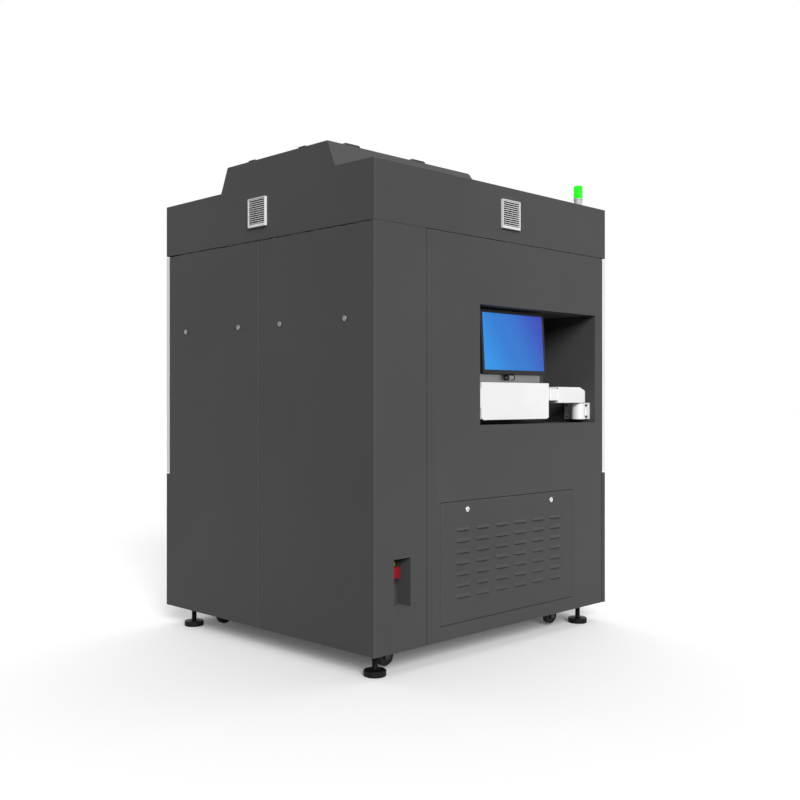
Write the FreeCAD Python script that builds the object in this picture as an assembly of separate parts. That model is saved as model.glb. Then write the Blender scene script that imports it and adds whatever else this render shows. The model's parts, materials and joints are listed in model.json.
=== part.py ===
"""Free-standing resin printer cabinet with a swing-out console, lift-off panels and a hood of optics.

Sizes are in millimetres.  Places inside the cabinet are written as (a, b, h):
a is the distance inward from the console side's outer plane, b the distance forward
from the rear plane, and h the height above the bottom edge of the panels.
"""
import FreeCAD
import Part
import math
import os

Vector = FreeCAD.Vector

# Overall envelope
hood_width = 1361.0
hood_depth = 1453.0
hood_height = 222.0
panel_height = 1565.0
skirt_clearance = 84.0
cover_proud = 25.0
front_proud = 24.0
band_height = 592.0

# Sheet metal
sheet = 2.0
fold = 20.0
seam = 4.0
hood_gap = 5.0
corner_gap = 1.0
console_gap = 2.0
hood_ledge = 60.0

# Welded frame
tube = 50.0
tube_wall = 4.0
base_tube = 60.0
base_rise = 40.0
mounting_plate = 8.0
mounting_plate_width = 240.0
mounting_plate_length = 270.0
deck_rise = 600.0

# Rear and console side panels
corner_return = 19.0
rear_seam = 676.0
corner_seam = 274.0

# Raised cover on the hood
raised_side = 208.0
raised_width = 731.0
raised_depth = 849.0
raised_height = 104.0
raised_slope = 47.0
hood_hole_margin = 22.0
rear_lug_length = 45.0
rear_lug_height = 3.0
rear_lug_first = 382.0
rear_lug_second = 701.0
side_lug_length = 82.0
side_lug_height = 6.0
side_lug_first = 86.0
side_lug_second = 448.0
lug_width = 26.0

# Hood grilles and fans
grille_width = 112.0
grille_height = 117.0
grille_proud = 12.0
grille_wall = 3.0
grille_margin = 9.0
grille_lip = 11.0
grille_sill = 51.5
grille_slats = 12
grille_slat_thickness = 3.0
grille_slat_drop = 1.5
rear_grille_start = 622.5
side_grille_start = 707.0
fan_radius = 50.0
fan_hub_radius = 19.0
fan_hub_length = 16.0
fan_blades = 7
fan_blade_thickness = 2.0
fan_pitch = 35.0
fan_shaft_radius = 3.0
fan_motor_radius = 16.0
fan_motor_length = 12.0
spider_width = 8.0
spider_root = 2.0
running_clearance = 0.06

# Quarter-turn locks
lock_height = 1218.5
lock_inset = 135.0
lock_head_radius = 11.0
lock_head_proud = 6.0
lock_body_radius = 8.0
lock_slot_width = 2.4
lock_slot_depth = 2.5
cam_length = 30.0
cam_width = 12.0
cam_thickness = 3.0
cam_gap = 0.5
strike_face = 15.0
strike_height = 24.0
strike_rise = 10.0
strike_margin = 30.0
standoff_width = 60.0
lock_rail_setback = 24.0
lock_rail_height = 50.0

# Louvred vent panel
vent_start = 344.0
vent_width = 854.0
vent_sill = 56.0
vent_height = 473.0
vent_gap = 4.0
vent_lip = 15.0
vent_lock_first = 155.5
vent_lock_spacing = 540.5
vent_lock_drop = 35.0
louvre_columns = 6
louvre_rows = 7
louvre_pitch = 119.0
louvre_rise = 43.0
louvre_length = 77.0
louvre_first = 90.0
louvre_sill = 101.0
louvre_height = 11.0
louvre_proud = 12.0
louvre_wall = 1.5

# Mains isolator recess
isolator_start = 98.0
isolator_width = 86.0
isolator_sill = 160.0
isolator_height = 180.0
isolator_depth = 75.0
isolator_plate_size = 65.0
isolator_plate_thickness = 4.0
isolator_axis_drop = 56.0
isolator_grip_width = 40.0
isolator_grip_height = 42.0
isolator_grip_reach = 40.0
isolator_grip_round = 5.0
isolator_collar_radius = 17.0
isolator_collar = 4.0
isolator_shaft_radius = 4.0
seat_gap = 0.3

# Console recess
console_front_margin = 58.0
console_width = 794.0
console_sill = 819.0
console_height = 481.0
console_depth = 290.0

# Console support arm
arm_plate_start = 29.0
arm_plate_width = 132.0
arm_plate_height = 73.0
arm_plate_thickness = 8.0
arm_plate_sill = 15.0
arm_hole_across = 109.0
arm_hole_up = 51.0
arm_screw_radius = 3.0
arm_screw_head_radius = 5.5
arm_screw_head = 4.0
post_inset = 62.0
post_setback = 41.0
post_radius = 30.5
post_height = 70.0
post_web = 28.0
arm_collar_radius = 21.0
arm_collar = 3.0
arm_pin_radius = 12.0
arm_pin_length = 30.0
arm_height = 70.0
arm_length = 192.0
elbow_drop = 22.0
arm_tube_height = 49.0
arm_tube_width = 40.0
sleeve_step = 2.0
sleeve_gap = 4.0
backing_width = 180.0

# Console bracket, keyboard tray and monitor
tray_inset = 55.0
tray_width = 448.0
tray_height = 153.0
tray_sill = 20.0
tray_face = 40.0
tray_depth = 20.0
tray_corner = 12.0
tray_grip_rise = 48.0
tray_grip_length = 80.0
tray_grip_reach = 6.0
bracket_inset = 64.0
bracket_thickness = 4.0
bracket_margin_back = 20.0
bracket_margin_front = 33.0
bracket_height = 182.0
rod_radius = 4.0
rod_behind_face = 12.0
rod_above_edge = 10.0
rod_overhang = 6.0
rod_lug = 8.0
rod_lug_radius = 6.0
monitor_inset = 66.0
monitor_width = 419.0
monitor_height = 263.0
monitor_sill = 208.0
monitor_edge = 18.0
monitor_back = 32.0
monitor_back_margin = 45.0
monitor_lean = 3.5
screen_border = 13.0
screen_chin = 16.0
screen_thickness = 2.0
knuckle_radius = 12.0
knuckle_offset = 26.0
knuckle_length = 28.0
knuckle_ear = 7.0
knuckle_below = 14.0
knuckle_pin_radius = 5.0
knuckle_gap = 0.5
knuckle_behind_face = 12.0

# Front door
door_start = 300.0
door_width = 860.0
door_sill = 680.0
door_height = 800.0
pivot_inset = 8.0
pivot_radius = 4.0
window_width = 480.0
window_height = 430.0
window_rebate = 20.0
window_thickness = 5.0
grip_width = 30.0
grip_height = 130.0
grip_depth = 16.0
grip_inset = 45.0

# Resin vat and build platform
vat_start = 460.0
vat_width = 708.0
vat_front_margin = 119.0
vat_depth = 720.0
vat_wall = 6.0
vat_floor = 10.0
vat_top = 592.0
platform_size = 600.0
platform_thickness = 12.0
platform_drop = 22.0
platform_holes = 9
platform_hole_radius = 8.0
platform_beam = 30.0
platform_beam_height = 18.0
platform_travel = 400.0
arm_leg_gap = 4.0
arm_leg_depth = 20.0
arm_cross_height = 60.0
arm_cross_clearance = 12.0
arm_cross_width = 200.0

# Lift column
column_width = 200.0
column_depth = 120.0
column_wall = 8.0
column_gap = 70.0
column_height = 1300.0
column_foot = 20.0
column_foot_margin = 50.0
rail_width = 23.0
rail_thickness = 20.0
rail_spacing = 137.0
rail_end = 40.0
carriage_height = 200.0
carriage_margin = 10.0
carriage_thickness = 50.0
carriage_gap = 5.0
rail_clearance = 0.3
screw_radius = 12.5
screw_reach = 37.0
screw_journal_radius = 8.0
bearing_width = 68.0
bearing_thickness = 20.0
bearing_reach = 70.0
motor_size = 70.0
motor_length = 110.0
motor_chamfer = 4.0

# Recoater
beam_gap = 20.0
recoater_rail_inset = 15.0
recoater_rail_lead = 30.0
recoater_park = 56.0
recoater_depth = 60.0
recoater_height = 60.0
recoater_block_height = 30.0
blade_thickness = 12.0
blade_clearance = 2.0
blade_margin = 20.0

# Optics
optics_plate_thickness = 12.0
optics_plate_margin = 24.0
laser_start = 320.0
laser_width = 220.0
laser_back = 120.0
laser_length = 560.0
laser_height = 240.0
laser_foot = 15.0
laser_foot_width = 50.0
laser_wall = 4.0
scanner_size = 170.0
scanner_height = 150.0
scanner_lens_radius = 50.0
scanner_lens_drop = 40.0
aperture_clearance = 6.0
beam_tube_radius = 18.0
mirror_mount = 54.0
mirror_mount_over = 36.0

# Electronics behind the louvres
electronics_inset = 40.0
electronics_width = 260.0
electronics_margin = 20.0
electronics_height = 400.0
electronics_shelves = 2

# Signal tower
tower_inset = 50.0
tower_setback = 141.0
tower_radius = 20.0
tower_base_height = 39.0
tower_lens_height = 57.0
tower_groove = 2.0
tower_groove_rise = 8.0

# Levelling feet
foot_inset = 62.0
foot_radius = 42.0
foot_side = 21.0
foot_cone = 3.0
foot_neck_radius = 20.0
foot_stem_radius = 11.0
foot_nut_radius = 19.0
foot_nut = 12.0
foot_nut_sides = 6
foot_stem_into_tube = 30.0
foot_far_inset = 104.0
foot_far_setback = 105.0

# Casters
caster_inset = 112.0
caster_setback = 190.0
caster_far_inset = 196.0
caster_far_setback = 216.0
caster_lift = 10.0
caster_trail = 32.0
wheel_radius = 37.5
wheel_width = 28.0
wheel_hub_radius = 16.0
wheel_hub_step = 3.0
wheel_round = 6.0
axle_radius = 5.0
fork_leg = 4.0
fork_gap = 2.0
fork_crown_radius = 28.0
fork_crown = 8.0
fork_bridge = 8.0
fork_ear_radius = 13.0
fork_pin_radius = 6.0
fork_pin_over = 5.0

# Derived planes and levels
side_x = -(hood_width - grille_proud) / 2
rear_y = (hood_depth - grille_proud) / 2
frame_width = hood_width - cover_proud
frame_depth = hood_depth - front_proud
panel_top = panel_height - hood_gap
hood_top = panel_height + hood_height
base_top = base_rise + base_tube
plate_level = base_rise - mounting_plate
deck_top = deck_rise + tube
post_top = panel_height - tube
strike_back = strike_face + sheet
cam_face = strike_back + cam_gap
vent_end = vent_start + vent_width
vent_top = vent_sill + vent_height
console_end = frame_depth - console_front_margin
console_start = console_end - console_width
console_top = console_sill + console_height
straight_tolerance = 0.01
INWARD = Vector(1, 0, 0)
FORWARD = Vector(0, -1, 0)
UP = Vector(0, 0, 1)


def at(a, b, h):
    """Turn cabinet distances into a point of the model's frame."""
    return Vector(side_x + a, rear_y - b, skirt_clearance + h)


def block(a, b, h):
    """Box over the spans a, b and h, each a (low, high) pair."""
    return Part.makeBox(a[1] - a[0], b[1] - b[0], h[1] - h[0], at(a[0], b[1], h[0]))


def rod(centre, radius, length, direction):
    """Round bar from the place centre along direction."""
    return Part.makeCylinder(radius, length, at(*centre), direction)


def prism(places, direction, length):
    """Outline through the places, drawn out along direction."""
    points = [at(*place) for place in places]
    face = Part.Face(Part.makePolygon(points + points[:1]))
    return face.extrude(direction * length)


def span(start, length):
    """Pair (start, start + length)."""
    return (start, start + length)


def grown(pair, margin):
    """Span widened by margin at both ends, or narrowed where margin is negative."""
    return (pair[0] - margin, pair[1] + margin)


def centred(middle, length):
    """Span of a length about its middle."""
    return (middle - length / 2, middle + length / 2)


def middle(pair):
    """Middle of a span."""
    return (pair[0] + pair[1]) / 2


def united(solids):
    """All solids welded into one."""
    return solids[0].multiFuse(solids[1:]).removeSplitter()


def pan(a, b, h, face):
    """Panel of sheet with its four edges folded back; face says which side is closed."""
    inside = {"a": grown(a, -sheet), "b": grown(b, -sheet), "h": grown(h, -sheet)}
    axis, side = face[0], face[1]
    spans = {"a": a, "b": b, "h": h}
    low, high = spans[axis]
    inside[axis] = (low + sheet, high) if side == "0" else (low, high - sheet)
    return block(a, b, h).cut(block(inside["a"], inside["b"], inside["h"]))


def edges_along(shape, direction):
    """Straight edges of a shape that run along direction."""
    return [edge for edge in shape.Edges
            if edge.tangentAt(edge.FirstParameter).cross(direction).Length < straight_tolerance]


def hollow_bar(a, b, h, wall):
    """Square tube along its longest side, open at the ends."""
    spans = [a, b, h]
    lengths = [pair[1] - pair[0] for pair in spans]
    longest = lengths.index(max(lengths))
    bore = [pair if i == longest else grown(pair, -wall) for i, pair in enumerate(spans)]
    return block(a, b, h).cut(block(*bore))


# Places of the feet and casters at the four corners
foot_a = (foot_inset, frame_width - foot_far_inset)
foot_b = (foot_inset, frame_depth - foot_far_setback)
caster_a = (caster_inset, frame_width - caster_far_inset)
caster_b = (caster_setback, frame_depth - caster_far_setback)
foot_places = [(a, b) for a in foot_a for b in foot_b]
caster_places = [(a, b) for a in caster_a for b in caster_b]
axle_level = caster_lift + wheel_radius - skirt_clearance

# Spans that several pieces share
rear_a_span = (corner_return + seam / 2, rear_seam - seam / 2)
rear_b_span = (rear_seam + seam / 2, frame_width)
console_b = (console_start, console_end)
console_h = (console_sill, console_top)
vent_b = (vent_start, vent_end)
vent_h = (vent_sill, vent_top)
isolator_b = span(isolator_start, isolator_width)
isolator_h = span(isolator_sill, isolator_height)
door_a = span(door_start, door_width)
door_h = span(door_sill, door_height)
vat_a = span(vat_start, vat_width)
vat_b = (frame_depth - vat_front_margin - vat_depth, frame_depth - vat_front_margin)
vat_middle_a = middle(vat_a)
vat_middle_b = middle(vat_b)
column_a = centred(vat_middle_a, column_width)
column_face = vat_b[0] - column_gap
column_back = column_face - column_depth
column_top = base_top + column_height
beam_low_a = (vat_a[0] - beam_gap - tube, vat_a[0] - beam_gap)
beam_high_a = (vat_a[1] + beam_gap, vat_a[1] + beam_gap + tube)
lock_places = [place for panel in (rear_a_span, rear_b_span) for place in grown(panel, -lock_inset)]
vent_lock_places = [vent_start + vent_lock_first, vent_start + vent_lock_first + vent_lock_spacing]
vent_lock_level = vent_top - vent_lock_drop
arm_wall = console_end
arm_plate_a = span(arm_plate_start, arm_plate_width)
arm_plate_h = span(console_sill + arm_plate_sill, arm_plate_height)
arm_screw_places = [
    (middle(arm_plate_a) + i * arm_hole_across / 2, middle(arm_plate_h) + j * arm_hole_up / 2)
    for i in (-1, 1)
    for j in (-1, 1)
]
post_b = arm_wall - post_setback
post_base = arm_plate_h[0]
post_head = post_base + post_height
arm_level = post_head + arm_collar
tray_b = span(console_start + tray_inset, tray_width)
tray_h = span(console_sill + tray_sill, tray_height)
tray_rod_a = tray_face + rod_behind_face
tray_rod_h = tray_h[0] + rod_above_edge
monitor_b = span(console_start + monitor_inset, monitor_width)
monitor_h = span(console_sill + monitor_sill, monitor_height)
knuckle_a = tray_face + knuckle_behind_face
knuckle_h = monitor_h[0] - knuckle_below
knuckle_b = centred(middle(monitor_b) - knuckle_offset, knuckle_length)
bracket_a = span(bracket_inset, bracket_thickness)
bracket_b = (tray_b[0] + bracket_margin_back, tray_b[1] - bracket_margin_front)
bracket_h = span(tray_h[0] + rod_above_edge - rod_lug_radius, bracket_height)
platform_top = vat_top - platform_drop + platform_thickness
leg_b = span(vat_b[0] + vat_wall + arm_leg_gap, arm_leg_depth)
cross_h = span(vat_top + arm_cross_clearance + platform_travel, arm_cross_height)
carriage_h = centred(middle(cross_h), carriage_height)
carriage_b = span(column_face + carriage_gap, carriage_thickness)
rail_places = [vat_middle_a - rail_spacing / 2, vat_middle_a + rail_spacing / 2]
rail_h = (base_top + rail_end, column_top - rail_end)
screw_b = column_face + screw_reach
bearing_low_h = span(base_top + column_foot, bearing_thickness)
bearing_high_h = (column_top - bearing_thickness, column_top)
recoater_b = span(vat_b[0] + recoater_park, recoater_depth)
recoater_rail_h = span(deck_top, recoater_rail_inset)
recoater_rails_a = [centred(middle(beam_low_a), rail_width), centred(middle(beam_high_a), rail_width)]
grille_h = span(panel_height + grille_sill, grille_height)


def base_frame():
    """Welded ring of square tube with cross members and drilled corner plates."""
    a, b, h = (fold, frame_width), (fold, frame_depth), (base_rise, base_top)
    inner_a, inner_b = grown(a, -base_tube), grown(b, -base_tube)
    bars = [
        hollow_bar(span(a[0], base_tube), b, h, tube_wall),
        hollow_bar((a[1] - base_tube, a[1]), b, h, tube_wall),
        hollow_bar(inner_a, span(b[0], base_tube), h, tube_wall),
        hollow_bar(inner_a, (b[1] - base_tube, b[1]), h, tube_wall),
        hollow_bar(inner_a, centred(column_back + column_depth / 2, base_tube), h, tube_wall),
        hollow_bar(inner_a, centred(vat_middle_b, base_tube), h, tube_wall),
        hollow_bar(inner_a, centred(vat_b[1] - base_tube, base_tube), h, tube_wall),
    ]
    plate_h = (plate_level, base_rise)
    for plate_a in (span(a[0], mounting_plate_width), (a[1] - mounting_plate_width, a[1])):
        for plate_b in (span(b[0], mounting_plate_length), (b[1] - mounting_plate_length, b[1])):
            bars.append(block(plate_a, plate_b, plate_h))
    frame = united(bars)
    stem_hole = foot_stem_radius + running_clearance
    pin_hole = fork_pin_radius + running_clearance
    holes = [rod((x, y, plate_level), stem_hole, mounting_plate + tube_wall, UP) for x, y in foot_places]
    holes += [rod((x, y, plate_level), pin_hole, mounting_plate, UP) for x, y in caster_places]
    return frame.cut(Part.makeCompound(holes))


def upright_frame():
    """Posts, deck beams, lock rails and the ring that carries the optics."""
    posts_h = (base_top, post_top)
    low_a, high_a = span(fold, tube), (frame_width - tube, frame_width)
    low_b, high_b = span(fold, tube), (frame_depth - tube, frame_depth)
    across = (low_a[1], high_a[0])
    along = (low_b[1], high_b[0])
    bars = [hollow_bar(a, b, posts_h, tube_wall) for a in (low_a, high_a) for b in (low_b, high_b)]
    rear_post = centred(rear_seam, tube)
    bars.append(hollow_bar(rear_post, low_b, posts_h, tube_wall))
    bars.append(hollow_bar(low_a, centred(corner_seam, tube), posts_h, tube_wall))
    ring_h = (post_top, panel_height)
    bars.append(hollow_bar(low_a, (low_b[0], high_b[1]), ring_h, tube_wall))
    bars.append(hollow_bar(high_a, (low_b[0], high_b[1]), ring_h, tube_wall))
    bars.append(hollow_bar(across, low_b, ring_h, tube_wall))
    bars.append(hollow_bar(across, high_b, ring_h, tube_wall))
    deck_h = (deck_rise, deck_top)
    bars.append(hollow_bar(across, high_b, deck_h, tube_wall))
    bars.append(hollow_bar((low_a[1], rear_post[0]), low_b, deck_h, tube_wall))
    bars.append(hollow_bar((rear_post[1], high_a[0]), low_b, deck_h, tube_wall))
    bars.append(hollow_bar(high_a, along, deck_h, tube_wall))
    bars.append(hollow_bar(beam_low_a, along, deck_h, tube_wall))
    bars.append(hollow_bar(beam_high_a, along, deck_h, tube_wall))
    strike_h = span(lock_height + strike_rise, strike_height)
    rail_span_h = span(strike_h[0], lock_rail_height)
    bays = ((low_a[1], rear_post[0], rear_a_span), (rear_post[1], high_a[0], rear_b_span))
    for bay_start, bay_end, panel_a in bays:
        bars.append(block((bay_start, bay_end), (lock_rail_setback, low_b[1]), rail_span_h))
        bars.append(block(grown(panel_a, -strike_margin), (strike_face, strike_back), strike_h))
        stand_a = centred(middle(panel_a), standoff_width)
        bars.append(block(stand_a, (strike_back, lock_rail_setback), strike_h))
    backing_b = (console_end + sheet, high_b[0])
    bars.append(block(span(low_a[0], backing_width), backing_b, arm_plate_h))
    frame = united(bars)
    drills = [
        rod((a, backing_b[0], h), arm_screw_radius, backing_b[1] - backing_b[0], FORWARD)
        for a, h in arm_screw_places
    ]
    return frame.cut(Part.makeCompound(drills))


def corner_panel():
    """Corner sheet with a short return on the rear face and the isolator's recess."""
    h = (0, panel_height - corner_gap)
    b = (0, corner_seam - seam / 2)
    skin = block((0, sheet), b, h)
    skin = skin.cut(block((0, sheet), isolator_b, isolator_h))
    pieces = [skin]
    pieces.append(block((sheet, corner_return - seam / 2), (0, sheet), h))
    pieces.append(block((sheet, fold), (b[1] - sheet, b[1]), h))
    tray = block((sheet, isolator_depth + sheet), grown(isolator_b, sheet), grown(isolator_h, sheet))
    pieces.append(tray.cut(block((sheet, isolator_depth), isolator_b, isolator_h)))
    return united(pieces)


def console_panel():
    """Large side panel with the console opening and the rebate of the vent panel."""
    h = (0, panel_height - console_gap)
    skin = pan((0, fold), (corner_seam + seam / 2, frame_depth - seam / 2), h, "a0")
    skin = skin.cut(block((0, sheet), console_b, console_h))
    skin = skin.cut(block((0, sheet), vent_b, vent_h))
    rebate = block((0, strike_back), grown(vent_b, sheet), grown(vent_h, sheet))
    rebate = rebate.cut(block((0, strike_face), vent_b, vent_h))
    rebate = rebate.cut(block((strike_face, strike_back), grown(vent_b, -vent_lip), grown(vent_h, -vent_lip)))
    return united([skin, rebate])


def console_recess():
    """Liner of five plates behind the console opening: floor, roof, two ends and a back."""
    a = (sheet, console_depth)
    outer_b, outer_h = grown(console_b, sheet), grown(console_h, sheet)
    floor = block(a, outer_b, (outer_h[0], console_sill))
    roof = block(a, outer_b, (console_top, outer_h[1]))
    rear_end = block(a, (outer_b[0], console_start), console_h)
    front_end = block(a, (console_end, outer_b[1]), console_h)
    back = block(span(console_depth, sheet), outer_b, outer_h)
    drills = [rod((x, console_end, z), arm_screw_radius, sheet, FORWARD) for x, z in arm_screw_places]
    return Part.makeCompound([floor, roof, rear_end, front_end.cut(Part.makeCompound(drills)), back])


def vent_panel():
    """Folded panel with rows of pressed louvres that open downwards."""
    plate = pan((0, strike_face), grown(vent_b, -vent_gap), grown(vent_h, -vent_gap), "a0")
    slots, louvres = [], []
    for column in range(louvre_columns):
        b0 = vent_start + louvre_first + column * louvre_pitch
        for row in range(louvre_rows):
            h0 = vent_sill + louvre_sill + row * louvre_rise
            top = h0 + louvre_height
            hood = prism(((0, b0, h0), (-louvre_proud, b0, h0), (0, b0, top)), FORWARD, louvre_length)
            inner = louvre_length - 2 * louvre_wall
            b1 = b0 + louvre_wall
            tip = louvre_wall - louvre_proud
            under_top = top - louvre_height * louvre_wall / louvre_proud
            under = prism(((0, b1, h0), (tip, b1, h0), (0, b1, under_top)), FORWARD, inner)
            louvres.append(hood.cut(under))
            slots.append(block((0, sheet), span(b1, inner), (h0, top - louvre_height / 2)))
    plate = plate.cut(Part.makeCompound(slots))
    plate = plate.multiFuse(louvres)
    hole = lock_body_radius + running_clearance
    drills = [rod((0, b, vent_lock_level), hole, sheet, INWARD) for b in vent_lock_places]
    return plate.cut(Part.makeCompound(drills))


def rear_panel(a):
    """Lift-off rear panel over the span a, drilled for its two locks."""
    panel = pan(a, (0, fold), (0, panel_top), "b0")
    hole = lock_body_radius + running_clearance
    drills = [rod((x, 0, lock_height), hole, sheet, FORWARD) for x in lock_places if a[0] < x < a[1]]
    return panel.cut(Part.makeCompound(drills))


def side_cover(h):
    """Cover of the far side over the height span h."""
    return pan((frame_width, hood_width), (0, frame_depth - seam), h, "a1")


def front_lower_cover():
    """Cover below the door."""
    return pan((0, hood_width), (frame_depth, hood_depth), (0, band_height - seam / 2), "b1")


def pivot_rods(radius, h):
    """Pins or holes of the door's pivots over the height span h."""
    return rod((door_a[1] - seam - pivot_inset, hood_depth - pivot_inset, h[0]), radius, h[1] - h[0], UP)


def front_upper_cover():
    """Front cover with a flanged opening for the door."""
    b = (frame_depth, hood_depth)
    cover = pan((0, hood_width), b, (band_height + seam / 2, panel_top), "b1")
    cover = cover.cut(block(door_a, b, door_h))
    flange = block(grown(door_a, sheet), b, grown(door_h, sheet)).cut(block(door_a, b, door_h))
    cover = united([cover, flange])
    hole = pivot_radius + running_clearance
    low = pivot_rods(hole, (door_h[0] - sheet, door_h[0]))
    high = pivot_rods(hole, (door_h[1], door_h[1] + sheet))
    return cover.cut(Part.makeCompound([low, high]))


window_b = (hood_depth - sheet - window_thickness, hood_depth - sheet)
window_a = centred(middle(door_a), window_width)
window_h = centred(middle(door_h), window_height)


def front_door():
    """Inset door with a window, a finger pocket and pivots at its far edge."""
    b = (frame_depth, hood_depth)
    a, h = grown(door_a, -seam), grown(door_h, -seam)
    door = pan(a, b, h, "b1")
    door = door.cut(block(grown(window_a, -window_rebate), b, grown(window_h, -window_rebate)))
    grip_a = span(a[0] + grip_inset, grip_width)
    grip_h = centred(middle(h), grip_height)
    pocket_b = (hood_depth - grip_depth, hood_depth)
    door = door.cut(block(grip_a, pocket_b, grip_h))
    pocket = block(grown(grip_a, sheet), (pocket_b[0] - sheet, pocket_b[1]), grown(grip_h, sheet))
    pocket = pocket.cut(block(grip_a, pocket_b, grip_h))
    low = pivot_rods(pivot_radius, (door_h[0] - 2 * sheet, h[0] + fold))
    high = pivot_rods(pivot_radius, (h[1] - fold, door_h[1] + 2 * sheet))
    return united([door, pocket, low, high])


def door_window():
    """Amber pane clamped behind the door's sheet."""
    return block(window_a, window_b, window_h)


raised_a = span(raised_side, raised_width)


def hood_shell():
    """Sheet hood over the optics, with a ledge inside, a hole below the raised cover and two vents."""
    a, b, h = (0, hood_width), (0, hood_depth), (panel_height, hood_top)
    shell = block(a, b, h).cut(block(grown(a, -sheet), grown(b, -sheet), (h[0], h[1] - sheet)))
    hole_b = (hood_hole_margin, raised_depth - hood_hole_margin)
    shell = shell.cut(block(grown(raised_a, -hood_hole_margin), hole_b, (h[1] - sheet, h[1])))
    ledge_h = span(panel_height + optics_plate_thickness, sheet)
    ledge = block(grown(a, -sheet), grown(b, -sheet), ledge_h)
    ledge = ledge.cut(block(grown(a, -hood_ledge), grown(b, -hood_ledge), ledge_h))
    shell = united([shell, ledge])
    vent_span = grown(grille_h, -grille_margin)
    inner = grille_width - 2 * grille_margin
    shell = shell.cut(block(span(rear_grille_start + grille_margin, inner), (0, sheet), vent_span))
    return shell.cut(block((0, sheet), span(side_grille_start + grille_margin, inner), vent_span))


def frustum(inset, h0, h1):
    """Raised cover's outline inset by a wall, as a solid between two heights."""
    def ring(level):
        lean = raised_slope * (level - hood_top) / raised_height
        a0, a1 = grown(raised_a, -lean - inset)
        b0, b1 = inset, raised_depth - lean - inset
        corners = [at(a0, b0, level), at(a1, b0, level), at(a1, b1, level), at(a0, b1, level)]
        return Part.makePolygon(corners + corners[:1])
    return Part.makeLoft([ring(h0), ring(h1)], True, True)


def roof_lug(a, b, h, direction):
    """Low lug with sloping ends over the spans a and b, rising through h."""
    rise = h[1] - h[0]
    if direction is INWARD:
        ends = ((a[0], h[0]), (a[0] + rise, h[1]), (a[1] - rise, h[1]), (a[1], h[0]))
        return prism([(x, b[0], z) for x, z in ends], FORWARD, b[1] - b[0])
    ends = ((b[0], h[0]), (b[0] + rise, h[1]), (b[1] - rise, h[1]), (b[1], h[0]))
    return prism([(a[0], y, z) for y, z in ends], INWARD, a[1] - a[0])


def raised_cover():
    """Sloping sheet cover on the hood, with low lugs along two of its top edges."""
    top = hood_top + raised_height
    shell = frustum(0, hood_top, top).cut(frustum(sheet, hood_top, top - sheet))
    pieces = [shell]
    for start in (rear_lug_first, rear_lug_second):
        lug_a = span(start, rear_lug_length)
        pieces.append(roof_lug(lug_a, (0, lug_width), span(top, rear_lug_height), INWARD))
    edge = raised_a[0] + raised_slope
    for start in (side_lug_first, side_lug_second):
        lug_a = span(edge, lug_width)
        pieces.append(roof_lug(lug_a, span(start, side_lug_length), span(top, side_lug_height), FORWARD))
    return united(pieces)


def upright_grille():
    """Grille as if on the rear face: deep frame, level slats, thick sill, and the fan's motor on a spider."""
    a, b = centred(0, grille_width), (-grille_proud, 0)
    h = grille_h
    opening_a, opening_h = grown(a, -grille_wall), (h[0] + grille_lip, h[1] - grille_wall)
    pieces = [block(a, b, h).cut(block(opening_a, b, opening_h))]
    pitch = (opening_h[1] - opening_h[0]) / grille_slats
    for i in range(grille_slats):
        z0, z1 = centred(opening_h[0] + (i + 0.5) * pitch, grille_slat_thickness)
        slat = ((b[0], z0), (b[0], z1), (b[1], z1 + grille_slat_drop), (b[1], z0 + grille_slat_drop))
        pieces.append(prism([(opening_a[0], y, z) for y, z in slat], INWARD, opening_a[1] - opening_a[0]))
    spider_h = grown(h, -grille_lip - seat_gap)
    centre = middle(h)
    pieces.append(block(centred(0, spider_width), (-spider_root, spider_width), spider_h))
    pieces.append(rod((0, -spider_root, centre), fan_motor_radius, fan_motor_length + spider_root, FORWARD))
    shaft = fan_motor_length + fan_hub_length
    pieces.append(rod((0, 0, centre), fan_shaft_radius, shaft, FORWARD))
    return united(pieces)


def upright_fan():
    """Fan rotor behind the rear grille: hub, bore and pitched blades."""
    centre = middle(grille_h)
    start = fan_motor_length + seat_gap
    hub = rod((0, start, centre), fan_hub_radius, fan_hub_length, FORWARD)
    pieces = [hub]
    blade_b = centred(start + fan_hub_length / 2, fan_blade_thickness)
    for i in range(fan_blades):
        blade = block(centred(0, 2 * fan_hub_radius * math.sin(math.pi / fan_blades)), blade_b,
                      (centre + fan_hub_radius / 2, centre + fan_radius))
        blade.rotate(at(0, middle(blade_b), centre), UP, fan_pitch)
        blade.rotate(at(0, middle(blade_b), centre), FORWARD, i * 360 / fan_blades)
        pieces.append(blade)
    bore = rod((0, start, centre), fan_shaft_radius + running_clearance, fan_hub_length, FORWARD)
    return united(pieces).cut(bore)


def on_rear(piece):
    """Copy of a vent piece at its place on the rear face."""
    copy = piece.copy()
    copy.translate(INWARD * (rear_grille_start + grille_width / 2))
    return copy


def on_side(piece):
    """Copy of a vent piece turned onto the console side."""
    copy = piece.copy()
    copy.rotate(at(0, 0, 0), UP, 90)
    copy.translate(FORWARD * (side_grille_start + grille_width / 2))
    return copy


def upright_lock():
    """Quarter-turn lock as if at the rear plane: slotted head, body and a cam that points up."""
    head = rod((0, -lock_head_proud, 0), lock_head_radius, lock_head_proud, FORWARD)
    slot = block(centred(0, lock_slot_width), span(-lock_head_proud, lock_slot_depth),
                 centred(0, 2 * lock_head_radius))
    body = rod((0, 0, 0), lock_body_radius, cam_face, FORWARD)
    cam = block(centred(0, cam_width), span(cam_face, cam_thickness), (-cam_width / 2, cam_length))
    return united([head.cut(slot), body, cam])


def rear_lock(a):
    """Lock of a rear panel at distance a."""
    lock = upright_lock()
    lock.translate(INWARD * a + UP * lock_height)
    return lock


def vent_lock(b):
    """Lock of the vent panel at distance b."""
    lock = upright_lock()
    lock.rotate(at(0, 0, 0), UP, 90)
    lock.translate(FORWARD * b + UP * vent_lock_level)
    return lock


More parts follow.
